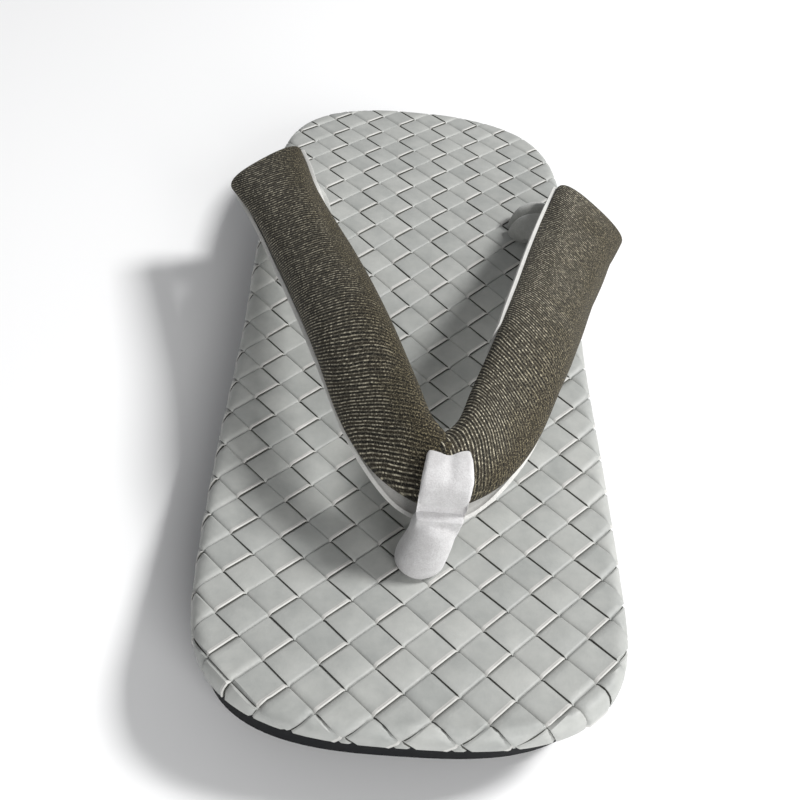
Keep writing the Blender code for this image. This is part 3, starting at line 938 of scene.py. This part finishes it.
    def trim(self, bm: bmesh.types.BMesh, middle: Vector) -> None:
        """Cuts a flat crossing off where the strips end, under the rim's lower edge.

        Args:
            bm: the crossing, in its flat place.
            middle: its middle.
        """
        rim, inward, _ = self.last.nearest(middle.x, middle.y)
        beside = Vector((inward.y, -inward.x, 0.0)) * self.strip_pitch / 2
        for step in (-1.0, 0.0, 1.0):
            spot = rim + beside * step
            place, inward, _ = self.last.nearest(spot.x, spot.y)
            geometry = list(bm.verts) + list(bm.edges) + list(bm.faces)
            bmesh.ops.bisect_plane(
                bm, geom=geometry, dist=WELD, plane_co=place - inward * (self.arc() - self.rim_radius),
                plane_no=-inward, clear_outer=True)
            bmesh.ops.holes_fill(bm, edges=[edge for edge in bm.edges if edge.is_boundary], sides=0)

    def plait(self) -> bmesh.types.BMesh:
        """Repeats the crossing over the whole footbed and lays it on.

        Returns:
            All the strips as one mesh, with a tone for each crossing.
        """
        luck = random.Random(self.seed)
        crossings = {}
        for weave in Weave:
            for fine in (False, True):
                part = self.crossing(weave, fine)
                crossings[weave, fine] = bpy.data.meshes.new("crossing")
                part.to_mesh(crossings[weave, fine])
                part.free()
        bm = bmesh.new()
        tone = bm.verts.layers.float.new(TONE_NAME)
        half = self.strip_pitch / math.sqrt(2.0)
        columns = math.ceil(self.last.ball_width / 2 / half) + self.spare_columns
        rows = math.ceil(self.last.length / half) + self.spare_rows
        for i in range(-columns, columns):
            for j in range(rows):
                if (i + j) % 2 == 0:
                    continue
                back = self.toe_shift + (j - self.rows_before_toe) * half
                middle = Vector((self.side_shift + i * half, back))
                inside = self.last.nearest(middle.x, middle.y)[2]
                shade = luck.random()
                slant = luck.gauss(0.0, self.slant)
                raised = luck.gauss(0.0, self.unevenness)
                if inside < -self.arc() - half + self.rim_radius:
                    continue
                weave = Weave.TO_TOE if i % 2 else Weave.TO_HEEL
                along = Vector(weave.value).normalized()
                along.rotate(Matrix.Rotation(slant, 2))
                across = Vector((-along.y, along.x))
                lay = Matrix((
                    (along.x, across.x, 0.0, middle.x), (along.y, across.y, 0.0, middle.y),
                    (0.0, 0.0, 1.0, raised), (0.0, 0.0, 0.0, 1.0)))
                part = bmesh.new()
                part.from_mesh(crossings[weave, inside < self.rim_radius + self.fine_reach * half])
                bmesh.ops.transform(part, matrix=lay, verts=part.verts)
                if inside < half:
                    self.trim(part, middle)
                for vert in part.verts:
                    vert.co = self.surface(*vert.co)
                laid = bpy.data.meshes.new("laid crossing")
                part.to_mesh(laid)
                part.free()
                start = len(bm.verts)
                bm.from_mesh(laid)
                bpy.data.meshes.remove(laid)
                bm.verts.ensure_lookup_table()
                for k in range(start, len(bm.verts)):
                    bm.verts[k][tone] = shade
        return bm

    def core(self) -> bmesh.types.BMesh:
        """Makes the plate under the strips."""
        radius = self.rim_radius - self.dive
        rings = []
        for i in range(self.core_steps + 1):
            turn = math.pi / 2 * i / self.core_steps
            inset = self.rim_radius - radius * math.sin(turn)
            drop = self.rim_radius - radius * math.cos(turn)
            rings.append(Ring(
                lambda back, inset=inset: inset, lambda back, drop=drop: self.last.top(back) - drop))
        under = self.thickness - self.core_gap
        rings.append(Ring(lambda back: self.dive, lambda back: self.last.top(back) - under))
        return ring_body(self.last, rings, self.outline_steps)

    def build(self) -> None:
        """Makes the plaited strips and the plate under them and sets both in place."""
        piece = new_piece("plaited_footbed", self.plait(), PlaitedLeather().build())
        # Slot 1: pale painted highlight on the folded edges.
        piece.data.materials.append(PlaitedLeather("folded leather edge", "C9C8C4", "B8B7B3").build())
        # Slot 2: dark painted shade on the strips' side walls.
        piece.data.materials.append(PlaitedLeather("cut leather edge", "5E5E59", "4C4C47").build())
        piece.data.set_sharp_from_angle(angle=SHARP_ANGLE)
        flatter = piece.modifiers.new("Flat faces", "WEIGHTED_NORMAL")
        flatter.keep_sharp = True
        settle(piece)
        place_piece(piece, "footbed")
        board = PlaitedLeather("leather board", "6E6E67", "55554F").build()
        place_piece(new_piece("footbed_core", self.core(), board), "footbed")


@dataclass
class StrapCourse:
    """Way of one strap from the thong to its rear end."""

    last: Last
    side: Hand
    back: float
    lift: float
    strap_rise: float = 0.0285
    strap_lean: float = 0.0042
    nudge: float = 0.01

    def centre(self, at: float) -> Vector:
        """Centre of the strap at a share of its way back."""
        back = self.last.length * blend(STATIONS, "back", at) + self.back * at
        x = self.side.value * blend(STATIONS, "spread", at) * self.last.ball_width / 2
        x += self.strap_lean * blend(STATIONS, "lean", at)
        z = self.last.top(back) + self.strap_rise * blend(STATIONS, "rise", at) + self.lift * at
        return Vector((x, self.last.row_y(back), z))

    def axes(self, at: float) -> tuple[Vector, Vector, Vector]:
        """Gives the strap's own directions at a share of its way back.

        Args:
            at: the share.

        Returns:
            The directions along it, across it towards its outer edge, and up out of its face.
        """
        turn = math.radians(blend(STATIONS, "turn", at))
        tilt = math.radians(blend(STATIONS, "tilt", at))
        across = Vector((
            self.side.value * math.cos(turn) * math.cos(tilt), -math.sin(turn) * math.cos(tilt),
            -math.sin(tilt)))
        run = (self.centre(min(at + self.nudge, 1.0)) - self.centre(max(at - self.nudge, 0.0))).normalized()
        across = (across - across.dot(run) * run).normalized()
        return run, across, run.cross(across) * -self.side.value

    def length(self, steps: int = 40) -> float:
        """Length of the strap along its centres."""
        places = [self.centre(i / steps) for i in range(steps + 1)]
        return sum((second - first).length for first, second in zip(places, places[1:]))


class Flare(NamedTuple):
    """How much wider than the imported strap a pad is, in millimetres, on the inner and the outer side."""

    at: float
    inner: float
    outer: float


RIGHT_FLARES = (
    Flare(0.00, 0.0, 0.0),
    Flare(0.30, 0.0, 0.2),
    Flare(0.43, 0.0, 1.6),
    Flare(0.57, 0.0, 3.4),
    Flare(0.68, 0.0, 4.6),
    Flare(0.80, 0.0, 5.2),
    Flare(0.92, 0.2, 4.6),
    Flare(1.00, 0.5, 3.9),
)

LEFT_FLARES = (
    Flare(0.00, 0.0, 0.0),
    Flare(0.30, 0.0, 0.3),
    Flare(0.45, 0.0, 0.7),
    Flare(0.60, 0.0, 1.0),
    Flare(0.70, 0.0, 0.8),
    Flare(0.82, 1.2, -0.8),
    Flare(0.91, 2.6, -1.4),
    Flare(1.00, 4.0, -1.6),
)


@dataclass
class StrapPad:
    """Padded twill band, swollen by its wadding between its two lower seams."""

    course: StrapCourse
    name: str
    twill: FleckedTwill
    flares: Sequence[Flare]
    stop: float = 1.0
    slant: float = 0.0
    slant_from: float = 0.88
    width: float = 0.0226
    thickness: float = 0.0092
    belly: float = 0.40
    roundness: float = 2.5
    corner: float = 0.0022
    corner_curve: float = 1.2
    end_fullness: float = 3.2
    shy: float = 0.0004
    swell: float = 0.0008
    seam_depth: float = 0.25
    pressure: float = 4.0
    cloth_mass: float = 0.01
    cloth_frames: int = 20
    wadding: float = 0.7
    steps: int = 96
    end_steps: int = 7
    sides: int = 40
    girth: float = 0.056
    straight_at: float = 0.30
    drape: float = 1.24

    def reach(self, at: float, outer: bool) -> float:
        """Half the strap's width, with its flare.

        Args:
            at: share of the way back.
            outer: whether towards the outer edge.

        Returns:
            The distance from the centre to the edge.
        """
        flare = blend(self.flares, "outer" if outer else "inner", at) * MM
        return self.width / 2 * blend(STATIONS, "width", at) + flare

    def places(self) -> list[tuple[float, float, float]]:
        """Lists the pad's rows: share of the way back, narrowing and share of the height."""
        run = self.course.length()
        first = []
        for i in range(self.end_steps + 1):
            turn = math.pi / 2 * i / self.end_steps
            height = math.sqrt(1.0 - (1.0 - i / self.end_steps) ** self.end_fullness)
            at = self.corner * (1.0 - math.cos(turn)) / run
            first.append((at, self.corner * (1.0 - math.sin(turn)) ** self.corner_curve, height))
        last = [(self.stop - at, narrow, height) for at, narrow, height in reversed(first)]
        middle = self.steps - 2 * self.end_steps
        start, stop = first[-1][0], last[0][0]
        between = [(start + (stop - start) * i / middle, 0.0, 1.0) for i in range(1, middle)]
        return first + between + last

    def mesh(self) -> bmesh.types.BMesh:
        """Rolls a grid up into the pad, with cloth coordinates in metres along and round it.

        Returns:
            The closed pad. The cloth runs on straight where the strap turns in towards the thong.
        """
        bm = bmesh.new()
        bmesh.ops.create_grid(bm, x_segments=self.steps, y_segments=self.sides, size=1.0)
        cloth = bm.loops.layers.uv.new(UV_NAME)
        run = self.course.length()
        rows = self.places()
        frames = []
        for at, narrow, height in rows:
            frames.append((at, narrow, height, self.course.centre(at), *self.course.axes(at)))
        straight = self.course.centre(self.straight_at)
        straight_way, straight_across, _ = self.course.axes(self.straight_at)
        for vert in bm.verts:
            row = round((vert.co.x + 1.0) / 2 * self.steps)
            step = round((vert.co.y + 1.0) / 2 * self.sides)
            at, narrow, height, centre, run_way, across, up = frames[row]
            turn = 2.0 * math.pi * (step % self.sides) / self.sides - math.pi / 2
            flat, rise = math.cos(turn), math.sin(turn)
            flat = math.copysign(abs(flat) ** (2.0 / self.roundness), flat)
            rise = math.copysign(abs(rise) ** (2.0 / self.roundness), rise)
            half = self.reach(at, flat > 0.0) - narrow - self.shy
            thick = self.thickness * blend(STATIONS, "thick", at)
            share = 1.0 - self.belly if rise > 0.0 else self.belly
            vert.co = centre + across * (half * flat) + up * ((thick * share - self.shy) * rise * height)
            vert.co += run_way * (self.slant * flat * smooth(at, self.slant_from, self.stop))
            offset = vert.co - straight
            ahead = Vector((
                run * self.straight_at + offset.dot(straight_way),
                self.girth / 2 - self.drape * offset.dot(straight_across)))
            rolled = Vector((run * at, self.girth * step / self.sides))
            share = smooth(at, self.straight_at / 2, self.straight_at)
            for loop in vert.link_loops:
                loop[cloth].uv = ahead.lerp(rolled, share)
        bmesh.ops.remove_doubles(bm, verts=bm.verts, dist=MERGE)
        bmesh.ops.recalc_face_normals(bm, faces=bm.faces)
        return bm

    def pinned(self, piece: bpy.types.Object) -> list[int]:
        """Finds the points that the lining holds.

        Args:
            piece: the pad.

        Returns:
            Their numbers.
        """
        held = []
        tree = KDTree(self.steps + 1)
        for i in range(self.steps + 1):
            tree.insert(self.course.centre(i / self.steps), i)
        tree.balance()
        for vert in piece.data.vertices:
            centre, number, _ = tree.find(vert.co)
            up = self.course.axes(number / self.steps)[2]
            if (vert.co - centre).dot(up) < -self.seam_depth * self.thickness:
                held.append(vert.index)
        return held

    def fill(self, piece: bpy.types.Object) -> None:
        """Presses the cloth outwards from within, as the wadding does.

        Args:
            piece: the pad, whose mesh keeps the result.
        """
        start = [vert.co.copy() for vert in piece.data.vertices]
        group = piece.vertex_groups.new(name="seam")
        group.add(self.pinned(piece), 1.0, "REPLACE")
        cloth = piece.modifiers.new("Wadding", "CLOTH")
        cloth.settings.vertex_group_mass = group.name
        cloth.settings.use_pressure = True
        cloth.settings.uniform_pressure_force = self.pressure
        cloth.settings.mass = self.cloth_mass
        cloth.settings.effector_weights.gravity = 0.0
        cloth.collision_settings.use_collision = False
        scene = bpy.context.scene
        for number in range(self.cloth_frames):
            scene.frame_set(number + 1)
        graph = bpy.context.evaluated_depsgraph_get()
        swollen = [vert.co.copy() for vert in piece.evaluated_get(graph).data.vertices]
        piece.modifiers.remove(cloth)
        piece.vertex_groups.remove(group)
        scene.frame_set(1)
        farthest = 0.0
        for vert, before, after in zip(piece.data.vertices, start, swollen):
            move = after - before
            farthest = max(farthest, move.length)
            vert.co = before + move * min(1.0, self.swell / max(move.length, WELD))
        log.info("%s: the cloth moved %.2f mm at most before the cap", piece.name, farthest / MM)

    def build(self) -> None:
        """Makes the pad and sets it in place."""
        piece = new_piece(self.name, self.mesh(), self.twill.build())
        self.fill(piece)
        finer = piece.modifiers.new("Smooth", "SUBSURF")
        finer.levels = 1
        finer.render_levels = 1
        settle(piece)
        place_piece(piece, "strap")


class Reveal(NamedTuple):
    """How far the lining shows past its pad, in millimetres, on the inner and the outer side."""

    at: float
    inner: float
    outer: float


RIGHT_REVEAL = (
    Reveal(0.00, -1.0, 0.4),
    Reveal(0.16, -1.0, 0.5),
    Reveal(0.30, -0.8, 0.1),
    Reveal(0.42, 0.3, -0.7),
    Reveal(0.60, 0.5, -1.0),
    Reveal(1.00, 0.6, -1.0),
)

LEFT_REVEAL = (
    Reveal(0.00, -1.0, 0.4),
    Reveal(0.16, -1.0, 0.5),
    Reveal(0.40, -1.0, 0.6),
    Reveal(0.70, -1.0, 0.7),
    Reveal(0.84, -0.2, 0.5),
    Reveal(0.92, 0.5, 0.0),
    Reveal(1.00, 0.4, -0.6),
)


@dataclass
class StrapLining:
    """Thin suede under both straps, with a lip at the outer side of their front ends."""

    pads: tuple[tuple[StrapPad, Sequence[Reveal]], ...]
    gap: float = 0.0003
    leather: float = 0.0011
    flange: float = 0.0040
    flange_curve: int = 3
    past_joint: float = 0.0002
    hide: float = 0.9
    edge_radius: float = 0.00035
    edge_steps: int = 3
    steps: int = 90
    sides: int = 28

    def half(self, pad: StrapPad, reveals: Sequence[Reveal]) -> bmesh.types.BMesh:
        """Makes the lining of one strap as an open sheet, up to the plane where both meet.

        Args:
            pad: the strap's pad.
            reveals: how far the lining shows along the strap.

        Returns:
            The sheet, its face away from the pad.
        """
        bm = bmesh.new()
        bmesh.ops.create_grid(bm, x_segments=self.steps, y_segments=self.sides, size=1.0)
        course = pad.course
        run = course.length()
        for vert in bm.verts:
            at = (vert.co.x + 1.0) / 2 * pad.stop
            share = (vert.co.y + 1.0) / 2
            way, across, up = course.axes(at)
            bite = max(0.0, 1.0 - min(at, pad.stop - at) * run / pad.corner)
            narrow = pad.corner * (1.0 - math.sqrt(max(0.0, 1.0 - bite * bite)))
            inner, outer = blend(reveals, "inner", at), blend(reveals, "outer", at)
            first = math.pi + self.hide * max(0.0, -inner)
            last = 2.0 * math.pi - self.hide * max(0.0, -outer)
            turn = first + (last - first) * share
            flat = math.copysign(abs(math.cos(turn)) ** (2.0 / pad.roundness), math.cos(turn))
            rise = -abs(math.sin(turn)) ** (2.0 / pad.roundness)
            shown = max(0.0, (outer if flat > 0.0 else inner)) * MM
            reach = pad.reach(at, flat > 0.0) + shown - narrow
            wing = self.flange * blend(STATIONS, "flange", at) * max(0.0, flat) ** self.flange_curve
            depth = pad.thickness * blend(STATIONS, "thick", at) * pad.belly + self.gap + self.leather
            vert.co = course.centre(at) + across * (reach * flat + wing) + up * (depth * rise - self.gap)
            vert.co += way * (pad.slant * flat * smooth(at, pad.slant_from, pad.stop))
        sign = course.side.value
        plane = Vector((course.strap_lean - sign * self.past_joint, 0.0, 0.0))
        geometry = list(bm.verts) + list(bm.edges) + list(bm.faces)
        bmesh.ops.bisect_plane(
            bm, geom=geometry, dist=WELD, plane_co=plane, plane_no=(-sign, 0.0, 0.0), clear_outer=True)
        bmesh.ops.recalc_face_normals(bm, faces=bm.faces)
        lowest = min(bm.faces, key=lambda face: face.calc_center_median().z)
        if lowest.normal.z > 0.0:
            bmesh.ops.reverse_faces(bm, faces=bm.faces)
        return bm

    def build(self) -> None:
        """Makes the lining of both straps as one piece and sets it in place."""
        bm = bmesh.new()
        for pad, reveals in self.pads:
            sheet = self.half(pad, reveals)
            mesh = bpy.data.meshes.new("lining half")
            sheet.to_mesh(mesh)
            sheet.free()
            bm.from_mesh(mesh)
            bpy.data.meshes.remove(mesh)
        suede = Suede("brushed suede lining", "C4C3BF", "D6D5D1").build()
        piece = new_piece("suede_lining", bm, suede)
        wall = piece.modifiers.new("Leather", "SOLIDIFY")
        wall.thickness = self.leather
        wall.offset = -1.0
        round_edges = piece.modifiers.new("Edges", "BEVEL")
        round_edges.width = self.edge_radius
        round_edges.segments = self.edge_steps
        round_edges.limit_method = "ANGLE"
        settle(piece)
        place_piece(piece, "strap_lining")


def copy_of_node(node: str) -> bmesh.types.BMesh:
    """Copies a CAD node's mesh and merges its loose triangles.

    Args:
        node: the node's name.

    Returns:
        The closed mesh.
    """
    bm = bmesh.new()
    bm.from_mesh(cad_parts[node].data)
    bmesh.ops.remove_doubles(bm, verts=bm.verts, dist=MERGE)
    bmesh.ops.recalc_face_normals(bm, faces=bm.faces)
    return bm


@dataclass
class Thong:
    """Suede thong: a band folded round the straps' joint, tucked in behind the top of a rounded foot."""

    voxel: float = 0.00040
    rounds: int = 8
    smoothing: float = 0.5
    side_facing: float = 0.1
    front_facing: float = 0.7
    tuck_height: float = 0.0366
    tuck_depth: float = 0.0028
    tuck_fade: float = 0.0034
    lip: float = 0.0008
    lip_fade: float = 0.0040
    front: float = -0.0790
    front_fade: float = 0.0015
    fold: float = 0.0004
    fold_width: float = 0.0013
    fold_at: float = 0.0056
    crown_low: float = 0.0450
    crown_high: float = 0.0480
    foot_middle: float = 0.0026
    foot_slimness: float = 0.14
    slim_from: float = 0.0010
    slim_full: float = 0.0140
    foot_shift: float = 0.0012
    shift_from: float = 0.0070
    shift_full: float = 0.0170

    def pressed(self, place: Vector, normal: Vector) -> Vector:
        """Moves a point of the soft suede to where its folds and tucks leave it.

        Args:
            place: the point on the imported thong.
            normal: the direction out of it.

        Returns:
            The moved point.
        """
        facing = smooth(-normal.y, self.side_facing, self.front_facing)
        facing *= smooth(self.front - place.y, 0.0, self.front_fade)
        above = place.z - self.tuck_height
        if above > 0.0:
            inward = self.tuck_depth * math.exp(-((above / self.tuck_fade) ** 1.5))
        else:
            inward = -self.lip * math.exp(above / self.lip_fade)
        slim = self.foot_slimness * smooth(-above, self.slim_from, self.slim_full)
        shift = self.foot_shift * smooth(-above, self.shift_from, self.shift_full)
        moved = place + Vector(((self.foot_middle - place.x) * slim - shift, inward * facing, 0.0))
        crown = smooth(place.z, self.crown_low, self.crown_high)
        dent = self.fold * math.exp(-(((place.x - self.fold_at) / self.fold_width) ** 2))
        return moved - normal * dent * crown

    def soften(self, bm: bmesh.types.BMesh) -> None:
        """Smooths the whole skin once."""
        bmesh.ops.smooth_vert(
            bm, verts=bm.verts, factor=self.smoothing, use_axis_x=True, use_axis_y=True, use_axis_z=True)

    def build(self) -> None:
        """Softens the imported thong, presses its folds in and sets it in place."""
        suede = Suede("brushed white suede", "BDBBBB", "D2D1D1").build()
        piece = new_piece("suede_thong", copy_of_node("front_thong"), suede)
        remesh = piece.modifiers.new("Skin", "REMESH")
        remesh.mode = "VOXEL"
        remesh.voxel_size = self.voxel
        remesh.use_smooth_shade = True
        settle(piece)
        bm = bmesh.new()
        bm.from_mesh(piece.data)
        for _ in range(self.rounds):
            self.soften(bm)
        bm.normal_update()
        for vert in bm.verts:
            vert.co = self.pressed(vert.co, vert.normal)
        self.soften(bm)
        bm.to_mesh(piece.data)
        bm.free()
        piece.data.shade_smooth()
        place_piece(piece, "front_thong")


@dataclass
class Tail:
    """Rolled suede end, two lobes with a crease between, from under a strap down into the footbed."""

    last: Last
    name: str
    node: str
    side: Hand
    back: float = 0.1862
    spread: float = 0.0355
    width: float = 0.0130
    thickness: float = 0.0070
    fullness: float = 1.30
    crease: float = 0.62
    crease_width: float = 0.14
    crease_loss: float = 0.30
    loss_from: float = 0.50
    loss_full: float = 0.80
    tip: float = 0.05
    nudge: float = 0.02
    steps: int = 44
    sides: int = 72

    def centre(self, at: float) -> Vector:
        """Centre of the roll at a share of its way, with z over the footbed and y from the hole."""
        out = self.spread + self.width * blend(BENDS, "out", at)
        return Vector((out, 0.0, self.thickness * blend(BENDS, "up", at)))

    def mesh(self) -> bmesh.types.BMesh:
        """Rolls a grid up into the tail and closes its ends."""
        bm = bmesh.new()
        bmesh.ops.create_grid(bm, x_segments=self.steps, y_segments=self.sides, size=1.0)
        for vert in bm.verts:
            at = (vert.co.x + 1.0) / 2
            step = round((vert.co.y + 1.0) / 2 * self.sides) % self.sides
            turn = 2.0 * math.pi * step / self.sides
            ahead, behind = self.centre(min(at + self.nudge, 1.0)), self.centre(max(at - self.nudge, 0.0))
            up = (ahead - behind).normalized().cross(Vector((0.0, 1.0, 0.0)))
            crease = self.crease * (1.0 - self.crease_loss * smooth(at, self.loss_from, self.loss_full))
            pinch = 1.0 - crease * math.exp(-((math.cos(turn) / self.crease_width) ** 2))
            closing = math.sqrt(max(0.0, 1.0 - (1.0 - min(at / self.tip, 1.0)) ** 2))
            full = self.fullness * closing / 2
            wide = self.width * blend(BENDS, "wide", at) * math.cos(turn) * full
            thick = self.thickness * blend(BENDS, "thick", at) * math.sin(turn) * pinch * full
            place = self.centre(at) + Vector((0.0, wide, 0.0)) + up * thick
            back = self.back + place.y
            vert.co = (self.side.value * place.x, self.last.row_y(back), self.last.top(back) + place.z)
        bmesh.ops.remove_doubles(bm, verts=bm.verts, dist=MERGE)
        ends = [edge for edge in bm.edges if edge.is_boundary]
        bmesh.ops.holes_fill(bm, edges=ends, sides=0)
        bmesh.ops.recalc_face_normals(bm, faces=bm.faces)
        return bm

    def build(self) -> None:
        """Makes the tail and sets it in place."""
        suede = Suede("brushed grey suede", "A0A19D", "B4B4B0").build()
        piece = new_piece(self.name, self.mesh(), suede)
        place_piece(piece, self.node)


class Lamp(NamedTuple):
    """Square soft light: its place, the length of its side and its power in watts."""

    name: str
    place: tuple[float, float, float]
    size: float
    power: float


@dataclass
class Studio:
    """White table, soft light from the upper right, and the camera."""

    lamps: tuple[Lamp, ...] = (
        Lamp("key", (1.02, 0.22, 1.15), 0.32, 22.5),
        Lamp("front fill", (0.56, -1.20, 0.56), 0.80, 13.0),
    )
    sky: str = "F4F5F7"
    sky_strength: float = 0.29
    card: str = "FAFAFA"
    card_roughness: float = 0.85
    table_reach: float = 2.0
    eye: tuple[float, float, float] = (-0.01898, -0.22833, 0.21205)
    aim: tuple[float, float, float] = (-0.0044, -0.0282, 0.0200)
    roll: float = math.radians(7.64)
    focal_length: float = 43.96
    sensor: float = 36.0
    clip_start: float = 0.01

    def build(self) -> None:
        """Sets up the table, the lights and the camera."""
        scene = bpy.context.scene
        scene.view_settings.view_transform = "Standard"
        self.table()
        for lamp in self.lamps:
            self.light(lamp)
        world = bpy.data.worlds.new("studio")
        world.use_nodes = True
        shade = world.node_tree.nodes["Background"]
        shade.inputs["Color"].default_value = linear(self.sky)
        shade.inputs["Strength"].default_value = self.sky_strength
        scene.world = world
        self.camera()

    def table(self) -> None:
        """Lays the pale table under the sole."""
        bm = bmesh.new()
        bmesh.ops.create_grid(bm, x_segments=1, y_segments=1, size=self.table_reach)
        material, tree = new_material("white card")
        shader = add_node(
            tree, "BsdfPrincipled", {"Base Color": linear(self.card), "Roughness": self.card_roughness})
        add_node(tree, "OutputMaterial", {"Surface": shader.outputs["BSDF"]})
        new_piece("table", bm, material)

    def light(self, lamp: Lamp) -> None:
        """Hangs one light that looks at the sandal.

        Args:
            lamp: the light to hang.
        """
        area = bpy.data.lights.new(lamp.name, "AREA")
        area.size = lamp.size
        area.energy = lamp.power
        thing = bpy.data.objects.new(lamp.name, area)
        thing.location = lamp.place
        thing.rotation_euler = (-Vector(lamp.place)).to_track_quat("-Z", "Y").to_euler()
        bpy.context.scene.collection.objects.link(thing)

    def camera(self) -> None:
        """Sets up the camera at the photograph's angle."""
        lens = bpy.data.cameras.new("camera")
        lens.lens = self.focal_length
        lens.sensor_width = self.sensor
        lens.clip_start = self.clip_start
        thing = bpy.data.objects.new("camera", lens)
        eye, aim = Vector(self.eye), Vector(self.aim)
        look = (aim - eye).to_track_quat("-Z", "Y").to_matrix()
        turned = look @ Matrix.Rotation(self.roll, 3, "Z")
        thing.matrix_world = Matrix.Translation(eye) @ turned.to_4x4()
        bpy.context.scene.collection.objects.link(thing)
        bpy.context.scene.camera = thing


def main() -> None:
    """Builds the sandal piece by piece, then the studio round it."""
    logging.basicConfig(level=logging.INFO, format="%(name)s: %(message)s")
    last = Last()
    right = StrapCourse(last, Hand.RIGHT, back=-0.0020, lift=0.0)
    left = StrapCourse(last, Hand.LEFT, back=0.0020, lift=0.0015)
    Studio().build()
    Sole(last).build()
    Footbed(last).build()
    right_twill = FleckedTwill(lay=62.0, rows_at=40.0 * MM, specks_at=26.0 * MM)
    left_twill = FleckedTwill(lay=123.0, rows_at=32.0 * MM, specks_at=46.0 * MM)
    right_pad = StrapPad(right, "right_pad", right_twill, RIGHT_FLARES, stop=0.995)
    left_pad = StrapPad(left, "left_pad", left_twill, LEFT_FLARES, stop=0.982, slant=1.2 * MM)
    for pad in (right_pad, left_pad):
        pad.build()
    StrapLining(((right_pad, RIGHT_REVEAL), (left_pad, LEFT_REVEAL))).build()
    Thong().build()
    Tail(last, "left_suede_tail", "left_tail", Hand.LEFT).build()
    Tail(last, "right_suede_tail", "right_tail", Hand.RIGHT).build()


if __name__ == "__main__":
    main()
